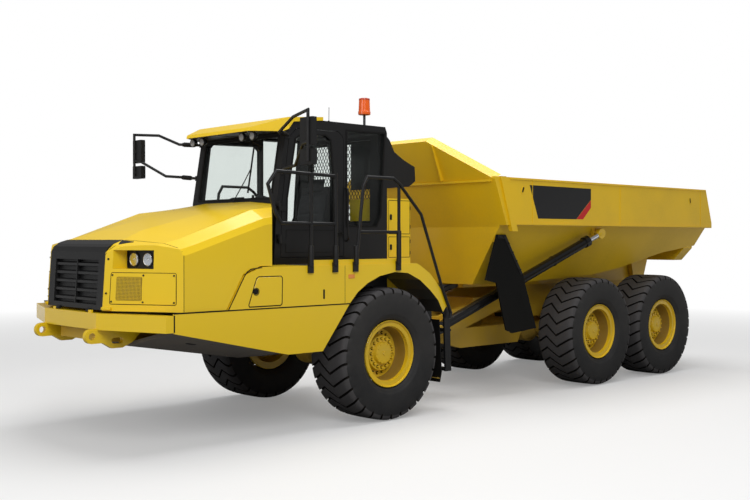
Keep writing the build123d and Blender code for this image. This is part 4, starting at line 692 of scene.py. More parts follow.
# Painted shade: fender faces whose normal points down are mixed to near black.
fender_paint_with_shade, fender_tree, fender_mix = masked_copy(paint, "fender paint with painted shade", (0.03, 0.028, 0.024))
fender_facing = add_node(fender_tree, "TexCoord", {}).outputs["Normal"]
fender_up = add_node(fender_tree, "SeparateXYZ", {0: fender_facing}).outputs["Z"]
fender_painted_shade = maths(fender_tree, "LESS_THAN", fender_up, -0.12)
feed(fender_tree, fender_mix, {"Factor": fender_painted_shade})
dress("front_fenders", fender_paint_with_shade, 0.01, 3)
reflector_orange = finish_of(
    "reflector orange", (0.8, 0.27, 0.03), 0.2, dust=0.05, coat=0.5, bump=0.3, grain=260.0
)
grip_black = finish_of(
    "grip mat", (0.02, 0.02, 0.021), 0.75, dust=0.3, dust_height=3.0, bump=0.5, grain=220.0
)
for side, side_name in both_sides:
    on_fender = fender_seat(side)
    door = bmesh.new()
    door_outline = [
        (1.612, 1.41), (1.595, 1.425), (1.59, 1.69), (1.605, 1.706), (1.89, 1.706), (1.915, 1.69),
        (2.012, 1.425), (2.005, 1.41),
    ]
    add_plate(door, on_fender, door_outline, -0.004, 0.004, 0.003)
    finish_piece("fender_door_" + side_name, door, paint, "tractor")
    lines = bmesh.new()
    add_band(lines, on_fender, inset_outline(door_outline, -0.011), 0.0105, -0.004, 0.0014)
    add_run(lines, on(
        on_fender, (2.266, 1.388, 0.0), (2.068, 1.728, 0.0), (2.035, 1.765, 0.0), (1.985, 1.792, 0.0),
        (1.85, 1.806, 0.0),
    ), 0.0055, 0.0015, (0.0, side, 0.0))
    add_run(lines, on(on_fender, (0.708, 1.39, 0.0), (0.708, 1.805, 0.0)), 0.0022, 0.001, (0.0, side, 0.0))
    # The small dark plate is the slot, its opening painted black as painted shade.
    add_plate(lines, on_fender, plate_outline(0.012, 0.052, 0.006, at=(1.013, 1.5)), -0.003, 0.002, 0.001)
    finish_piece("fender_lines_" + side_name, lines, seal_black, "tractor")
    latch = bmesh.new()
    latch_ring = [(1.928 + 0.04 * cos(tau * i / 28), 1.56 + 0.04 * sin(tau * i / 28)) for i in range(28)]
    add_band(latch, on_fender, latch_ring, 0.007, 0.002, 0.0075)
    add_plate(latch, on_fender, inset_outline(latch_ring, 0.009), 0.002, 0.0046, 0.001)
    add_plate(latch, on_fender, plate_outline(0.01, 0.024, 0.006, at=(1.928, 1.56)), 0.004, 0.0105, 0.003)
    finish_piece("fender_latch_" + side_name, latch, bolt_black, "tractor")
    reflector = bmesh.new()
    add_plate(
        reflector, on_fender, plate_outline(0.046, 0.022, 0.004, at=(0.612, 1.684)), -0.002, 0.006, 0.002
    )
    finish_piece("fender_reflector_" + side_name, reflector, reflector_orange, "tractor")
    mats = bmesh.new()
    for mat_x, mat_half in ((0.96, 0.2), (0.36, 0.34), (-0.2, 0.16)):
        seat = flat_seat((front + mat_x, side * 1.11, 1.812), ahead, leftward)
        add_plate(mats, seat, plate_outline(mat_half, 0.215, 0.02), -0.003, 0.004, 0.002)
        row_count = int(mat_half / 0.03)
        for row in range(row_count):
            for column in range(7):
                u = (row - row_count / 2 + 0.5) * 0.058
                v = (column - 3) * 0.06 + (0.015 if row % 2 else -0.015)
                add_bolts(mats, [seat(u, v, 0.004)], 0.013, 0.004, upward, 6)
    finish_piece("deck_mats_" + side_name, mats, grip_black, "tractor")

# Engine block under the hood: rough cast iron, oil-dark, seen only from below and behind.
# One plain casting stands for the engine and the gearbox.
cast_iron = finish_of(
    "cast iron", (0.16, 0.15, 0.13), 0.62, dust=0.5, dust_height=2.2, bump=0.5, grain=55.0, depth=0.004
)
dress("engine", cast_iron, 0.02, 3)

# Hood: one large moulded shell in gloss yellow with soft shoulders and a steep nose.
# Side covers with a mesh window and six bolts, panel seams and the lug by the grille lie on its skin.
dress("hood", paint, 0.012, 3)
hood_front = skin_seat("hood", "front")
hood_above = skin_seat("hood", "above")


def nose_seat(side):
    """Puts points on the hood's corner panel on one side: outwards, up and off it."""
    return lambda u, v, w: hood_front(side * u, v, w)


def hood_wall_seat(side):
    """Puts points on the slanted wall inside the hood's rear end: outwards, up and backwards."""
    return lambda u, v, w: Vector(
        (front + 1.365 + 0.7232 * (u - 0.845) - 0.811 * w, side * (u + 0.585 * w), v)
    )


# Dark yellow for the plate behind the cover's mesh bars: the mesh's own yellow with painted shade.
mesh_backing_shade = finish_of("mesh backing painted shade", (0.16, 0.105, 0.01), 0.5, dust=0.1, bump=0.6, grain=240.0)
for side, side_name in both_sides:
    on_nose = nose_seat(side)
    cover = bmesh.new()
    cover_outline = plate_outline(0.318, 0.153, 0.014, at=(0.996, 1.61))
    add_plate(cover, on_nose, cover_outline, -0.003, 0.0045, 0.002)
    for step in range(19):
        u = 0.742 + 0.0132 * step
        add_run(cover, on(on_nose, (u, 1.498, 0.0112), (u, 1.722, 0.0112)), 0.0016, 0.0012, ahead)
    for step in range(17):
        v = 1.5 + 0.0138 * step
        add_run(cover, on(on_nose, (0.74, v, 0.0117), (0.984, v, 0.0117)), 0.0016, 0.0012, ahead)
    finish_piece("hood_cover_" + side_name, cover, paint, "hood")
    # Behind the mesh bars, a plate with a fine relief in dark yellow: the mesh's own yellow darkened as
    # painted shade of the space behind it.
    window = bmesh.new()
    add_plate(window, on_nose, plate_outline(0.126, 0.116, 0.012, at=(0.862, 1.61)), 0.001, 0.0105, 0.001)
    finish_piece("cover_mesh_" + side_name, window, mesh_backing_shade, "hood")
    seams = bmesh.new()
    add_band(seams, on_nose, inset_outline(cover_outline, -0.0065), 0.006, -0.003, 0.0014)
    add_run(seams, [hood_above(front + x, side * y, 0.0) for x, y in (
        (2.985, 0.625), (2.945, 0.76), (2.895, 0.95), (2.845, 1.14), (2.8, 1.31), (2.785, 1.365)
    )], 0.0028, sides=6)
    add_run(
        seams, [side_seat(side)(2.778, 1.384, z) for z in (1.94, 1.75, 1.55, 1.39)], 0.0028, sides=6,
        up=(0.0, side, 0.0),
    )
    finish_piece("hood_seams_" + side_name, seams, seal_black, "hood")
    fasteners = bmesh.new()
    for u, v in (
        (0.692, 1.742), (1.0, 1.742), (1.298, 1.742), (0.692, 1.478), (1.0, 1.478), (1.298, 1.478),
        (0.64, 1.9), (0.636, 1.56),
    ):
        add_bolts(
            fasteners, [on_nose(u, v, 0.004)], 0.0105, 0.006, on_nose(u, v, 1.0) - on_nose(u, v, 0.0), 8
        )
    finish_piece("hood_fasteners_" + side_name, fasteners, bolt_black, "hood")
    lug = bmesh.new()
    add_plate(lug, on_nose, plate_outline(0.044, 0.016, 0.008, at=(0.652, 1.408)), -0.004, 0.026, 0.006)
    finish_piece("hood_lug_" + side_name, lug, paint, "hood")

black_plastic = finish_of(
    "black plastic", (0.011, 0.011, 0.0115), 0.4, dust=0.01, shine=0.28, bump=0.12, grain=160.0
)
hood_wall = bmesh.new()
for side in (1.0, -1.0):
    wall_seat = hood_wall_seat(side)
    add_plate(hood_wall, wall_seat, [
        (0.79, 1.83), (1.345, 1.83), (1.345, 2.225), (1.31, 2.275), (1.15, 2.375), (0.79, 2.435)
    ], -0.004, 0.004, 0.002)
    for rib_u in (0.93, 1.07, 1.21):
        add_run(hood_wall, on(wall_seat, (rib_u, 1.9, 0.006), (rib_u, 2.25, 0.006)), 0.012, 0.005, ahead)
finish_piece("hood_wall", hood_wall, black_plastic, "hood")

# Grille: black satin plastic surround with rounded shoulders and slats in a recess.
# Wings of the same plastic run out over the hood's corners; the middle of the slats stays bare.
dress("grille", black_plastic, 0.006)
wings = bmesh.new()
for side in (1.0, -1.0):
    add_plate(wings, nose_seat(side), [
        (0.604, 1.94), (0.617, 1.96), (0.628, 1.995), (0.65, 2.026), (0.69, 2.048), (0.74, 2.06),
        (0.79, 2.066), (0.775, 2.074), (0.604, 2.09),
    ], -0.004, 0.003, 0.002)
finish_piece("grille_wings", wings, black_plastic, "hood")

# Headlamps: two round lamps side by side in a dark bezel, each a chromed bowl with a bulb.
# They sit on the CAD unit in its pocket, behind clear lenses.
chrome = finish_of("chrome", (0.8, 0.81, 0.82), 0.1, dust=0.05, metal=1.0, bump=0.0)
dress("headlamps", black_plastic, 0.003)
# Radius, out of the lamp's face
bowl_profile = (
    (0.064, 0.014), (0.06, 0.015), (0.056, 0.013), (0.047, 0.009), (0.032, 0.0065), (0.018, 0.0056),
    (0.015, 0.0056), (0.014, 0.012), (0.01, 0.0165), (0.001, 0.018),
)


def turned(shape, seat, profile, steps=32):
    """Joins a turned form to a mesh in making: radius and rise on a seat."""
    skin_between(shape, [[seat(
        reach * cos(tau * i / steps), reach * sin(tau * i / steps), rise
    ) for i in range(steps)] for reach, rise in profile])


bowls = bmesh.new()
lenses = bmesh.new()
bezels = bmesh.new()
for side in (1.0, -1.0):
    for lens_y in (0.79, 0.99):
        seat = flat_seat((
            front + 2.99 - (lens_y - 0.685) * 0.1829, side * lens_y, 1.8975
        ), (-0.18 * side, 0.9836, 0.0), upward)
        turned(bowls, seat, bowl_profile)
        turned(lenses, seat, (
            (0.0655, 0.009), (0.0655, 0.0125), (0.06, 0.0175), (0.042, 0.0215), (0.02, 0.0235), (0.001, 0.024)
        ))
    seat = flat_seat((front + 2.9525, side * 0.89, 1.8975), (-0.18 * side, 0.9836, 0.0), upward)
    add_band(bezels, seat, plate_outline(0.206, 0.0905, 0.02), 0.012, -0.002, 0.012)
finish_piece("lamp_bowls", bowls, chrome, "hood")
finish_piece("lamp_bezels", bezels, black_plastic, "hood")


def glass_of(name, tint, see_through):
    """Thin tinted pane: clear where it is faced, mirror-like where it is seen at a slant."""
    made, tree, base = new_material(name)
    tree.nodes.remove(base)
    clear = add_node(tree, "BsdfTransparent", {"Color": (*[see_through * c for c in tint], 1.0)})
    shine = add_node(tree, "BsdfGlossy", {"Roughness": 0.03})
    slant = add_node(tree, "LayerWeight", {}).outputs["Facing"]
    steep = maths(tree, "POWER", slant, 4.5)
    share = maths(tree, "MULTIPLY_ADD", steep, 0.55, 0.025)
    mix = add_node(tree, "MixShader", {"Fac": share, 1: clear.outputs[0], 2: shine.outputs[0]})
    feed(tree, tree.nodes["Material Output"], {"Surface": mix.outputs[0]})
    return made


lamp_clear = glass_of("lamp lens", (0.97, 0.98, 1.0), 0.97)
finish_piece("lamp_lenses", lenses, lamp_clear, "hood")

# Cab shell: black satin steel frame with wide pillars and rounded corners.
# Gaskets round the windows, grab rails, the aerial, the wiper and the mesh guard behind are added to it.
black_satin = finish_of(
    "black satin", (0.009, 0.009, 0.0095), 0.34, dust=0.0, shine=0.28, coat=0.1, bump=0.04, grain=120.0
)
dress("cab_frame", black_satin, 0.01, 3)
quarter_pane = [(0.19, 2.255), (0.19, 3.38), (-0.43, 3.39), (-0.36, 2.39), (-0.29, 2.255)]
door_pane = [
    (1.087, 2.285), (1.08, 2.56), (0.96, 3.235), (0.9, 3.28), (0.52, 3.305), (0.44, 3.255), (0.4, 2.85),
    (0.4, 2.285),
]
right_pane = [
    (1.11, 2.29), (1.095, 2.52), (1.0, 3.225), (0.95, 3.28), (0.3, 3.295), (0.24, 3.24), (0.24, 2.29)
]


def cab_left(x, z, w):
    """Place on the cab's left face."""
    return Vector((front + x, 0.845 + w, z))


def cab_right(x, z, w):
    """Place on the cab's right face."""
    return Vector((front + x, -0.845 - w, z))


def cab_nose(y, z, w):
    """Place on the slanted plane of the windshield."""
    return Vector((front + 1.2252 - 0.16875 * (z - 2.56) + w, y, z))


def cab_back(y, z, w):
    """Place on the cab's rear face."""
    return Vector((front - 0.47 - w, y, z))


gaskets = bmesh.new()
for seat, pane in ((cab_left, quarter_pane), (cab_right, quarter_pane), (cab_right, right_pane)):
    add_band(gaskets, seat, inset_outline(pane, -0.014), 0.02, -0.012, 0.005)
add_band(gaskets, cab_nose, plate_outline(0.745, 0.364, 0.05, at=(0.0, 2.91)), 0.026, -0.012, 0.005)
add_band(gaskets, cab_back, plate_outline(0.615, 0.53, 0.05, at=(0.0, 2.815)), 0.026, -0.012, 0.005)
finish_piece("cab_gaskets", gaskets, seal_black, "tractor")
cab_rails = bmesh.new()
for side in (1.0, -1.0):
    grab = on(
        side_seat(side), (0.205, 0.84, 2.7), (0.205, 0.885, 2.66), (0.215, 0.895, 2.4), (0.212, 0.895, 2.18),
        (0.2, 0.885, 2.1), (0.2, 0.84, 2.075),
    )
    add_run(cab_rails, curved_path(grab), 0.011, sides=10, up=ahead)
add_run(cab_rails, [
    (front + 0.421, 0.79, 3.466), (front + 0.42, 0.79, 3.48), (front + 0.418, 0.79, 3.64)
], 0.0035, sides=8, up=ahead)
add_run(cab_rails, [(front + 0.421, 0.79, 3.466), (front + 0.421, 0.79, 3.484)], 0.012, sides=10, up=ahead)
add_run(cab_rails, on(cab_nose, (0.05, 2.52, 0.0), (0.05, 2.52, 0.04)), 0.014, sides=10)
add_run(cab_rails, on(
    cab_nose, (0.05, 2.52, 0.034), (0.22, 2.76, 0.03), (0.3, 2.9, 0.024)
), 0.006, sides=8, up=ahead)
add_run(cab_rails, on(cab_nose, (0.3, 2.63, 0.016), (0.3, 3.16, 0.016)), 0.005, 0.009, ahead)
finish_piece("cab_rails", cab_rails, black_satin, "tractor")
guard_mesh = bmesh.new()
for step in range(-30, 31):
    for lean in (1.0, -1.0):
        ends = []
        for edge_y, edge_z in ((-0.58, None), (0.58, None), (None, 2.32), (None, 3.31)):
            y = edge_y if edge_y is not None else 0.055 * step + lean * (edge_z - 2.815) * 0.62
            z = edge_z if edge_z is not None else 2.815 + (edge_y - 0.055 * step) / (lean * 0.62)
            if -0.5801 <= y <= 0.5801 and 2.3199 <= z <= 3.3101:
                ends.append((y, z))
        if len(ends) >= 2 and abs(ends[0][1] - ends[1][1]) > 0.03:
            add_run(guard_mesh, [
                cab_back(*ends[0], 0.016 + 0.002 * lean), cab_back(*ends[1], 0.016 + 0.002 * lean)
            ], 0.0045, 0.0015, ahead)
add_band(guard_mesh, cab_back, plate_outline(0.6, 0.512, 0.04, at=(0.0, 2.815)), 0.024, 0.004, 0.022)
finish_piece("rear_window_guard", guard_mesh, black_satin, "tractor")

# Visor over the windshield: a yellow cap on a black header, with four work lamps under its front edge.
# The lamps have round black bodies and grey fronts.


def visor_seat(side):
    """Puts points under one half of the visor: forwards, outwards and down."""
    return lambda u, v, w: Vector((front + u, side * v, 3.3035 - w))


dress("cab_roof", paint, 0.01, 3)
header = bmesh.new()
for side in (1.0, -1.0):
    add_plate(header, visor_seat(side), [
        (1.16, 0.02), (1.45, 0.02), (1.45, 0.6), (1.12, 0.86), (1.13, 0.02)
    ], -0.003, 0.004, 0.002)
finish_piece("visor_underside", header, black_plastic, "tractor")
lamp_bodies = bmesh.new()
lamp_fronts = bmesh.new()
for lamp_y in (-0.6, -0.4, 0.4, 0.6):
    seat = flat_seat((front + 1.375, lamp_y, 3.255), leftward, (0.1, 0.0, 0.995))
    turned(lamp_bodies, seat, (
        (0.02, -0.04), (0.034, -0.038), (0.046, -0.02), (0.05, 0.0), (0.05, 0.018), (0.046, 0.02),
        (0.044, 0.016), (0.002, 0.014),
    ), 24)
    turned(lamp_fronts, seat, ((0.043, 0.0155), (0.04, 0.019), (0.02, 0.022), (0.002, 0.023)), 24)
    add_run(lamp_bodies, [(front + 1.36, lamp_y, 3.29), (front + 1.36, lamp_y, 3.306)], 0.012, 0.012, ahead)
finish_piece("work_lamps", lamp_bodies, black_plastic, "tractor")
lamp_grey = finish_of("lamp front", (0.16, 0.16, 0.17), 0.1, dust=0.02, coat=0.6, bump=0.0)
finish_piece("work_lamp_lenses", lamp_fronts, lamp_grey, "tractor")

# Cab door: a black steel leaf with a big pane and a lever handle.
# A gasket holds the pane, and a pressed line runs round the lower panel.
dress("cab_door", black_satin, 0.006)
door_trim = bmesh.new()
add_band(door_trim, cab_left, inset_outline(door_pane, -0.012), 0.018, -0.012, 0.005)
add_band(door_trim, cab_left, [(0.3, 1.945), (1.11, 1.945), (1.1, 2.205), (0.3, 2.205)], 0.006, -0.002, 0.002)
finish_piece("door_gasket", door_trim, seal_black, "door")
handle = bmesh.new()
add_plate(handle, cab_left, plate_outline(0.05, 0.034, 0.01, at=(0.318, 2.165)), -0.002, 0.006, 0.003)
add_run(handle, curved_path(on(
    cab_left, (0.352, 2.172, 0.004), (0.35, 2.172, 0.024), (0.325, 2.17, 0.03), (0.285, 2.166, 0.026),
    (0.272, 2.165, 0.018),
), 4), 0.0075, sides=8)
finish_piece("door_handle", handle, bolt_black, "door")

# Window panes: lightly tinted safety glass, thin and glossy.
# Rubber gaskets hold them in the frame.
tinted = glass_of("tinted glass", (0.97, 0.99, 0.98), 0.96)
dress("cab_glass", tinted, 0.0)
dress("door_glass", tinted, 0.0)

# Cab interior: seat, dash and steering wheel in dark grey plastic and cloth.
# Sewn cushions lie on its shell; the wheel gets a thick rim, and arm rests, levers and a screen are added.
cab_plastic = finish_of("cab plastic", (0.035, 0.035, 0.038), 0.55, dust=0.05, bump=0.25, grain=180.0)
seat_cloth = finish_of(
    "seat cloth", (0.05, 0.05, 0.054), 0.85, dust=0.03, bump=0.9, grain=420.0, depth=0.0015
)
dress("cab_interior", cab_plastic, 0.02, 3)


def cushion(name, seat, half_u, half_v, thick, channels):
    """Crowned closed pad with sewn channels across it, as a piece."""
    shape = bmesh.new()
    count = 28
    rows = []
    for i in range(count + 1):
        row = []
        for j in range(count + 1):
            s, t = 2.0 * i / count - 1.0, 2.0 * j / count - 1.0
            crown = max(0.0, (1.0 - abs(s) ** 4.5)) ** 0.5 * max(0.0, (1.0 - abs(t) ** 4.5)) ** 0.5
            sewn = sum(max(0.0, 1.0 - abs(t - channel) / 0.07) ** 2 for channel in channels)
            pull = 1.0 - 0.035 * (1.0 - abs(s) ** 2) * abs(t) ** 6
            rise = crown * (0.84 + 0.16 * (1.0 - s * s)) - 0.2 * sewn * crown
            row.append(seat(half_u * s * (1.0 - 0.02 * t * t), half_v * t * pull, thick * rise))
        rows.append(row)
    top = [[shape.verts.new(place) for place in row] for row in rows]
    for low, high in zip(top, top[1:]):
        for j in range(count):
            shape.faces.new((low[j], high[j], high[j + 1], low[j + 1]))
    rim = [row[0] for row in top] + top[-1][1:] + [row[-1] for row in top[-2::-1]] + top[0][-2:0:-1]
    shape.faces.new(rim)
    piece = finish_piece(name, shape, seat_cloth, "tractor", 60.0)
    return piece


cushion(
    "seat_cushion", flat_seat((front + 0.31, 0.0, 2.072), leftward, (-1.0, 0.0, -0.05)), 0.245, 0.195, 0.062,
    (-0.35, 0.3),
)
cushion(
    "seat_back", flat_seat((front + 0.04, 0.0, 2.405), leftward, (-0.199, 0.0, 0.98)), 0.24, 0.27, 0.075,
    (-0.45, 0.0, 0.45),
)
cushion(
    "head_rest", flat_seat((front - 0.05, 0.0, 2.765), leftward, (-0.199, 0.0, 0.98)), 0.15, 0.085, 0.06, (),
)
controls = bmesh.new()
hub_seat = flat_seat((front + 0.7, 0.0, 2.458), leftward, (0.66, 0.0, 0.75))
grip = [hub_seat(0.2 * cos(tau * i / 40), 0.2 * sin(tau * i / 40), 0.0) for i in range(40)]
rings = []
for i, place in enumerate(grip):
    out = (place - hub_seat(0.0, 0.0, 0.0)).normalized()
    rise = hub_seat(0.0, 0.0, 1.0) - hub_seat(0.0, 0.0, 0.0)
    rings.append(
        [place + out * 0.02 * cos(tau * k / 10) + rise * 0.019 * sin(tau * k / 10) for k in range(10)]
    )
skin_between(controls, rings, closed=True)
for side in (1.0, -1.0):
    here = side_seat(side)
    add_run(controls, curved_path(on(
        here, (0.3, 0.3, 2.2), (0.44, 0.31, 2.235), (0.5, 0.31, 2.25), (0.51, 0.31, 2.33)
    ), 4), 0.014, sides=8, up=leftward)
    add_run(controls, on(here, (0.05, 0.31, 2.22), (0.42, 0.31, 2.24)), 0.035, 0.022, upward)
add_plate(
    controls, flat_seat((front + 0.93, -0.3, 2.52), leftward, (0.35, 0.0, 0.94)),
    plate_outline(0.13, 0.085, 0.012), -0.02, 0.012, 0.004,
)
finish_piece("cab_controls", controls, black_plastic, "tractor")

# Walkway rails and ladders: bent black tube, with dark sleeves at the feet of the posts.
# Punched treads lie on the steps, and rubber mudflaps hang behind the front wheels.
dress("handrails", black_satin, 0.0)
dress("ladders", black_satin, 0.003)
ladder_y = 1.2075
sleeves = bmesh.new()
for side, posts in ((1.0, (1.21, 0.86, 0.56, -0.11)), (-1.0, (0.56, -0.11))):
    for post_x in posts:
        post_top = 2.2 if post_x < 0.0 else 2.03
        post_foot = (front + post_x - (0.004 if post_x == 0.56 else 0.0), side * 1.42, 1.81)
        turned(sleeves, flat_seat(post_foot, ahead, leftward), (
            (0.0195, -0.004), (0.029, 0.0), (0.029, post_top - 1.822), (0.0265, post_top - 1.814),
            (0.0195, post_top - 1.812),
        ), 20)
finish_piece("rail_sleeves", sleeves, black_plastic, "tractor")
treads = bmesh.new()
for side in (1.0, -1.0):
    for step_x, step_z in ((-1.005, 0.5), (-1.003, 0.74), (-1.0, 0.98), (-0.985, 1.22)):
        seat = flat_seat((front + step_x, side * ladder_y, step_z + 0.013), ahead, leftward)
        add_band(treads, seat, plate_outline(0.054, 0.139, 0.008), 0.006, -0.002, 0.006)
        for row in (-0.032, 0.0, 0.032):
            for hole in range(-4, 5):
                tooth = flat_seat(seat(row, 0.028 * hole, -0.0005), ahead, leftward)
                turned(
                    treads, tooth, ((0.0105, -0.001), (0.0085, 0.0045), (0.006, 0.0045), (0.005, -0.001)), 10
                )
finish_piece("step_treads", treads, black_satin, "tractor")
mudflaps = bmesh.new()
flap_clips = bmesh.new()
for side in (1.0, -1.0):
    seat = flat_seat((front - 0.918, side * ladder_y, 0.0), (0.0, side, 0.0), (0.05, 0.0, 1.0))
    add_plate(mudflaps, seat, [
        (-0.15, 1.12), (-0.16, 0.48), (-0.12, 0.35), (0.125, 0.35), (0.16, 0.48), (0.15, 1.12)
    ], -0.005, 0.005, 0.003)
    for clip_u in (-0.1, 0.1):
        add_run(flap_clips, on(seat, (clip_u, 0.4, -0.006), (clip_u, 0.4, 0.014)), 0.01, sides=10, up=upward)
    add_run(flap_clips, on(seat, (-0.135, 0.4, 0.008), (0.135, 0.4, 0.008)), 0.003, 0.012, ahead)
finish_piece("mudflaps", mudflaps, seal_black, "tractor")
finish_piece("mudflap_clips", flap_clips, frame_yellow, "tractor")

# Mirrors: black moulded housings on a bent tube frame, two a side.
# Each has a bright silvered pane with a thin rim, and clamps hold it to the tube.
dress("mirrors", black_plastic, 0.012, 3)
mirror_silver = finish_of("mirror silver", (0.86, 0.88, 0.9), 0.03, dust=0.03, metal=1.0, bump=0.0)
panes = bmesh.new()
mirror_trim = bmesh.new()
for side in (1.0, -1.0):
    here = side_seat(side)
    for mirror_z, half_v, half_u in ((3.215, 0.145, 0.1), (2.95, 0.08, 0.105)):
        seat = flat_seat(here(1.4502, 1.7, mirror_z), (0.0, -1.0, 0.0), upward)
        add_plate(panes, seat, plate_outline(half_u - 0.012, half_v - 0.012, 0.014), -0.001, 0.0015, 0.001)
        add_band(
            mirror_trim, seat, plate_outline(half_u - 0.003, half_v - 0.003, 0.016), 0.012, -0.001, 0.0045
        )
        add_run(mirror_trim, on(
            here, (1.505, 1.735, mirror_z - 0.018), (1.505, 1.735, mirror_z + 0.018)
        ), 0.024, sides=12)
    for foot, elbow in (
        ((1.086, 0.868, 3.265), (1.32, 1.005, 3.27)), ((1.15, 0.868, 2.85), (1.29, 1.05, 2.87))
    ):
        start, stop = Vector(foot), Vector(elbow)
        sleeve = [start.lerp(stop, share) for share in (0.3, 0.36, 0.8, 0.86)]
        for (low, high), reach in zip(zip(sleeve, sleeve[1:]), (0.024, 0.029, 0.024)):
            add_run(mirror_trim, on(here, (low.x, low.y, low.z), (high.x, high.y, high.z)), reach, sides=14)
finish_piece("mirror_panes", panes, mirror_silver, "tractor")
finish_piece("mirror_rims", mirror_trim, seal_black, "tractor")

# Beacon: an orange turning lamp on a black stem behind the roof.
# Ribbed translucent dome with a darker cap, over a collar and a black foot.
lamp_orange = finish_of("orange lamp", (0.9, 0.13, 0.008), 0.14, dust=0.02, coat=0.6, bump=0.0)
lamp_red = finish_of("orange lamp cap", (0.5, 0.045, 0.006), 0.2, dust=0.02, coat=0.6, bump=0.0)
beacon_seat = flat_seat((front - 0.41, 0.5, 0.0), ahead, leftward)
stem = bmesh.new()
turned(stem, beacon_seat, (
    (0.002, 3.4703), (0.045, 3.4703), (0.045, 3.482), (0.04, 3.485), (0.02, 3.488), (0.016, 3.496),
    (0.016, 3.64), (0.002, 3.642),
), 28)
finish_piece("beacon_stem", stem, black_satin, "tractor")
dome = bmesh.new()
ribs = [(0.074 - 0.0055 * i / 14.0 - (0.0022 if i % 2 else 0.0), 3.696 + 0.13 * i / 14.0) for i in range(15)]
turned(dome, beacon_seat, (
    (0.002, 3.639), (0.04, 3.639), (0.07, 3.645), (0.078, 3.652), (0.078, 3.686), (0.075, 3.69),
    (0.0735, 3.691), *ribs, (0.067, 3.829), (0.002, 3.83),
), 40)
dome_piece = finish_piece("beacon_dome", dome, lamp_orange, "tractor")
cap = bmesh.new()
turned(cap, beacon_seat, (
    (0.002, 3.828), (0.0685, 3.828), (0.069, 3.84), (0.066, 3.849), (0.056, 3.8535), (0.03, 3.8553),
    (0.002, 3.8553),
), 40)
finish_piece("beacon_cap", cap, lamp_red, "tractor")
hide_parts("beacon")

# Tank cabinets behind the cab: yellow steel boxes, with two doors on the left and one on the right.
# Door outlines, latches and hinges are added.
dress("tank_cabinets", paint, 0.008, 3)
cabinet_lines = bmesh.new()
cabinet_parts = bmesh.new()
for face, doors in (
    ("left", ((-0.875, -0.5, 2.16, 2.58), (-0.875, -0.5, 1.87, 2.13))),
    ("right", ((-0.875, -0.5, 1.87, 2.2),)),
):
    seat = skin_seat("tank_cabinets", face)
    for low_x, high_x, low_z, high_z in doors:
        mid_u, mid_v = front + 0.5 * (low_x + high_x), 0.5 * (low_z + high_z)
        half_u, half_v = 0.5 * (high_x - low_x), 0.5 * (high_z - low_z)
        add_band(
            cabinet_lines, seat, plate_outline(half_u, half_v, 0.012, at=(mid_u, mid_v)), 0.007, -0.003,
            0.0008,
        )
        add_plate(
            cabinet_parts, seat, plate_outline(0.018, 0.034, 0.008, at=(mid_u + half_u - 0.04, mid_v)),
            -0.002, 0.007, 0.003,
        )
        for hinge_v in (-0.55, 0.55):
            add_run(cabinet_parts, on(seat, (
                mid_u - half_u + 0.004, mid_v + half_v * hinge_v - 0.022, 0.005
            ), (mid_u - half_u + 0.004, mid_v + half_v * hinge_v + 0.022, 0.005)), 0.006, sides=10, up=ahead)
finish_piece("cabinet_lines", cabinet_lines, seal_black, "tractor")
finish_piece("cabinet_latches", cabinet_parts, bolt_black, "tractor")

# Air duct from the rear of the cab: black plastic with louvres.
# A moulded box that widens downwards, with fins over its slanted back.
dress("air_duct", black_plastic, 0.015, 3)
fins = bmesh.new()
duct_seat = skin_seat("air_duct", "above")
for fin in range(6):
    fin_x = front - 0.59 - 0.036 * fin
    add_run(
        fins, on(duct_seat, (fin_x, 0.23, 0.004), (fin_x, 0.49, 0.004), (fin_x, 0.75, 0.004)), 0.01, 0.005
    )
finish_piece("duct_fins", fins, black_plastic, "tractor")

# Steering cylinders low between the frames: black barrels and chromed rods.
# A nut, two bands and a feed pipe go on each barrel.
barrel_black = finish_of("barrel black", (0.006, 0.006, 0.0065), 0.22, dust=0.02, coat=0.3, bump=0.02)
rod_chrome = finish_of("rod chrome", (0.78, 0.79, 0.8), 0.08, dust=0.02, metal=1.0, bump=0.0)


def painted_eye(finish, name, pin, reach):
    """Copy of a chrome finish with yellow paint on the eye, within a reach of the pin."""
    made, tree, mix = masked_copy(finish, name, (0.62, 0.4, 0.01))
    place = add_node(tree, "TexCoord", {}).outputs["Object"]
    gap = add_node(tree, "VectorMath", {0: place, 1: pin}, operation="DISTANCE").outputs["Value"]
    near = maths(tree, "LESS_THAN", gap, reach)
    bare = maths(tree, "SUBTRACT", 1.0, near)
    feed(tree, mix, {"Factor": near})
    feed(tree, tree.nodes["Principled BSDF"], {"Metallic": bare})
    return made


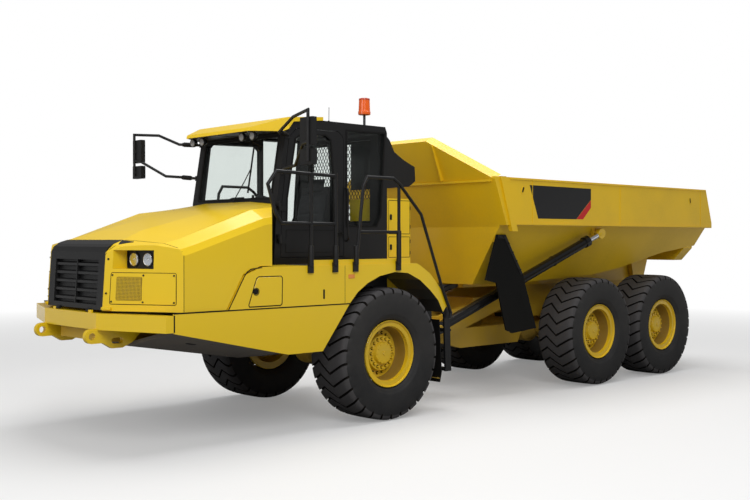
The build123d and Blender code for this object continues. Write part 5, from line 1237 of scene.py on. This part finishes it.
def barrel_trim(name, body, foot, pin, start, stop, radius, pipe_side):
    """Nut, bands, fittings and a feed pipe along a cylinder's barrel."""
    root, tip = Vector(foot), Vector(pin)
    along = (tip - root).normalized()
    out = along.cross(Vector(upward)).normalized() * pipe_side
    shape = bmesh.new()
    seat = flat_seat(root, out, along.cross(out))
    if (seat(0.0, 0.0, 1.0) - root).dot(along) < 0:
        seat = flat_seat(root, out, out.cross(along))
    turned(shape, seat, (
        (radius - 0.004, stop - 0.9 * radius), (radius + 0.009, stop - 0.85 * radius),
        (radius + 0.009, stop - 0.15 * radius), (radius - 0.004, stop - 0.08 * radius),
    ), 8)
    for band in (start + 0.25 * (stop - start), start + 0.62 * (stop - start)):
        turned(shape, seat, (
            (radius - 0.002, band - 0.017), (radius + 0.006, band - 0.013), (radius + 0.006, band + 0.013),
            (radius - 0.002, band + 0.017),
        ), 28)
    pipe = [
        seat(radius + 0.002, 0.0, start + 0.05), seat(radius + 0.024, 0.0, start + 0.06),
        seat(radius + 0.026, 0.0, start + 0.1), seat(radius + 0.02, 0.0, start + 0.25 * (stop - start)),
        seat(radius + 0.02, 0.0, start + 0.62 * (stop - start)),
        seat(radius + 0.026, 0.0, stop - 1.6 * radius), seat(radius + 0.006, 0.0, stop - 1.1 * radius),
    ]
    add_run(shape, curved_path(pipe, 4), 0.009, sides=8, up=tuple(along.cross(out)))
    finish_piece(name, shape, barrel_black, body, 40.0)


for side, side_name in both_sides:
    dress("steer_barrel_" + side_name, barrel_black, 0.003)
    dress("steer_rod_" + side_name, rod_chrome, 0.003)
    foot, pin = (1.745, side * 0.55, 0.78), (0.495, side * 0.47, 0.78)
    barrel_trim("steer_trim_" + side_name, "steer_barrel_" + side_name, foot, pin, 0.1, 0.7, 0.05, side)

# Bed: welded steel tub with deep rails, spill guard and tail ramp, in gloss yellow outside.
# The black panel with its red corner, the lifting eyes with dark plates as painted shade in their holes,
# lips, a ledge and weld seams are added.
bed_paint = finish_of(
    "bed yellow", (0.82, 0.52, 0.008), 0.34, dust=0.26, dust_colour=(0.17, 0.125, 0.06), dust_height=2.5,
    patch=1.4, coat=0.12, bump=0.03, grain=70.0,
)
panel_black = finish_of("panel black", (0.008, 0.008, 0.009), 0.3, dust=0.0, shine=0.28, coat=0.1, bump=0.02)
panel_red = finish_of("panel red", (0.55, 0.008, 0.008), 0.32, dust=0.0, coat=0.1, bump=0.02)
dress("dump_body", bed_paint, 0.006)
bed_black = bmesh.new()
bed_red = bmesh.new()
bed_lines = bmesh.new()
bed_eye_shade = bmesh.new()
for face in ("left", "right"):
    seat = skin_seat("dump_body", face)
    add_plate(bed_black, seat, [(front + u, v) for u, v in (
        (-2.501, 2.813), (-3.889, 2.81), (-3.889, 2.655), (-3.54, 2.374), (-2.684, 2.372)
    )], -0.001, 0.0012, 0.0005)
    add_plate(bed_red, seat, [(front + u, v) for u, v in (
        (-3.889, 2.65), (-3.889, 2.54), (-3.7, 2.375), (-3.546, 2.375)
    )], -0.001, 0.0012, 0.0005)
    for start_x, end_x, line_z in ((-2.1, -7.08, 2.884), (-2.2, -7.25, 2.298)):
        line = [seat(front + start_x + (end_x - start_x) * step / 12.0, line_z, 0.004) for step in range(13)]
        add_run(bed_lines, line, 0.008, 0.011, upward)
    for weld_x in (-2.56, -4.62, -6.93):
        add_run(bed_lines, on(
            seat, (front + weld_x, 2.312, 0.001), (front + weld_x, 2.59, 0.001), (front + weld_x, 2.87, 0.001)
        ), 0.005, 0.003, ahead)
    for eye_x, eye_z, tilt in ((-2.361, 2.744, 0.35), (-6.601, 2.711, -0.2)):
        around = [(
            front + eye_x + u * cos(tilt) - v * sin(tilt), eye_z + u * sin(tilt) + v * cos(tilt)
        ) for u, v in plate_outline(0.03, 0.052, 0.028, 6)]
        add_band(bed_lines, seat, around, 0.012, -0.001, 0.006)
        # The dark plate inside each eye ring is painted shade standing for the hole.
        add_plate(bed_eye_shade, seat, inset_outline(around, 0.011), -0.001, 0.0012, 0.0005)
seat = skin_seat("dump_body", "front")
add_run(bed_lines, [seat(1.39 - 2.78 * step / 16.0, 2.852, 0.01) for step in range(17)], 0.014, 0.014, upward)
for side in (1.0, -1.0):
    for low, high, reach in ((2.885, 3.0, 0.045), (3.0, 3.2, 0.035), (3.2, 3.33, 0.022)):
        add_run(bed_lines, on(
            seat, (side * 0.56, low, 0.5 * reach), (side * 0.56, high, 0.4 * reach)
        ), 0.006, 0.5 * reach + 0.004, (1.0, 0.0, 0.4))
finish_piece("bed_panel_black", bed_black, panel_black, "dump_body")
finish_piece("bed_panel_red", bed_red, panel_red, "dump_body")
finish_piece("bed_lines", bed_lines, bed_paint, "dump_body")
finish_piece("bed_eyes", bed_eye_shade, seal_black, "dump_body")

# Rubber guards that hang from the bed in front of the middle wheels.
# Thick dull rubber, held by a bolted strip along the top edge.
flap_rubber = finish_of(
    "flap rubber", (0.0035, 0.0035, 0.003), 0.62, dust=0.01, shine=0.15, bump=0.2, grain=60.0
)
dress("bed_flaps", flap_rubber, 0.004)
flap_parts = bmesh.new()
for side in (1.0, -1.0):
    seat = flat_seat((0.0, side * 1.27, 0.0), (-side, 0.0, 0.0), upward)
    add_plate(flap_parts, seat, [(-side * (front + u), v) for u, v in (
        (-2.06, 2.15), (-2.225, 2.15), (-2.58, 1.64), (-2.54, 1.618), (-2.205, 2.105), (-2.06, 2.108)
    )], -0.001, 0.006, 0.002)
    for u, v in ((-2.1, 2.13), (-2.19, 2.13), (-2.29, 2.04), (-2.37, 1.925), (-2.45, 1.81), (-2.53, 1.69)):
        turned(flap_parts, flat_seat(
            seat(-side * (front + u), v, 0.0055), (-side, 0.0, 0.0), upward
        ), ((0.014, -0.002), (0.014, 0.006), (0.01, 0.01), (0.002, 0.01)), 6)
finish_piece("flap_strips", flap_parts, bolt_black, "dump_body")

# Hoist cylinders: long gloss-black barrels with chromed rods, pinned under the bed's rails.
# Gland nuts, bands and feed pipes are added along the barrels.
for side, side_name in both_sides:
    foot, pin = (0.495, side * 0.8, 0.95), (-2.275, side * 1.38, 2.18)
    dress("hoist_barrel_" + side_name, barrel_black, 0.004)
    dress("hoist_rod_" + side_name, painted_eye(rod_chrome, "hoist rod " + side_name, pin, 0.085), 0.003)
    barrel_trim("hoist_trim_" + side_name, "hoist_barrel_" + side_name, foot, pin, 0.95, 2.826, 0.068, side)
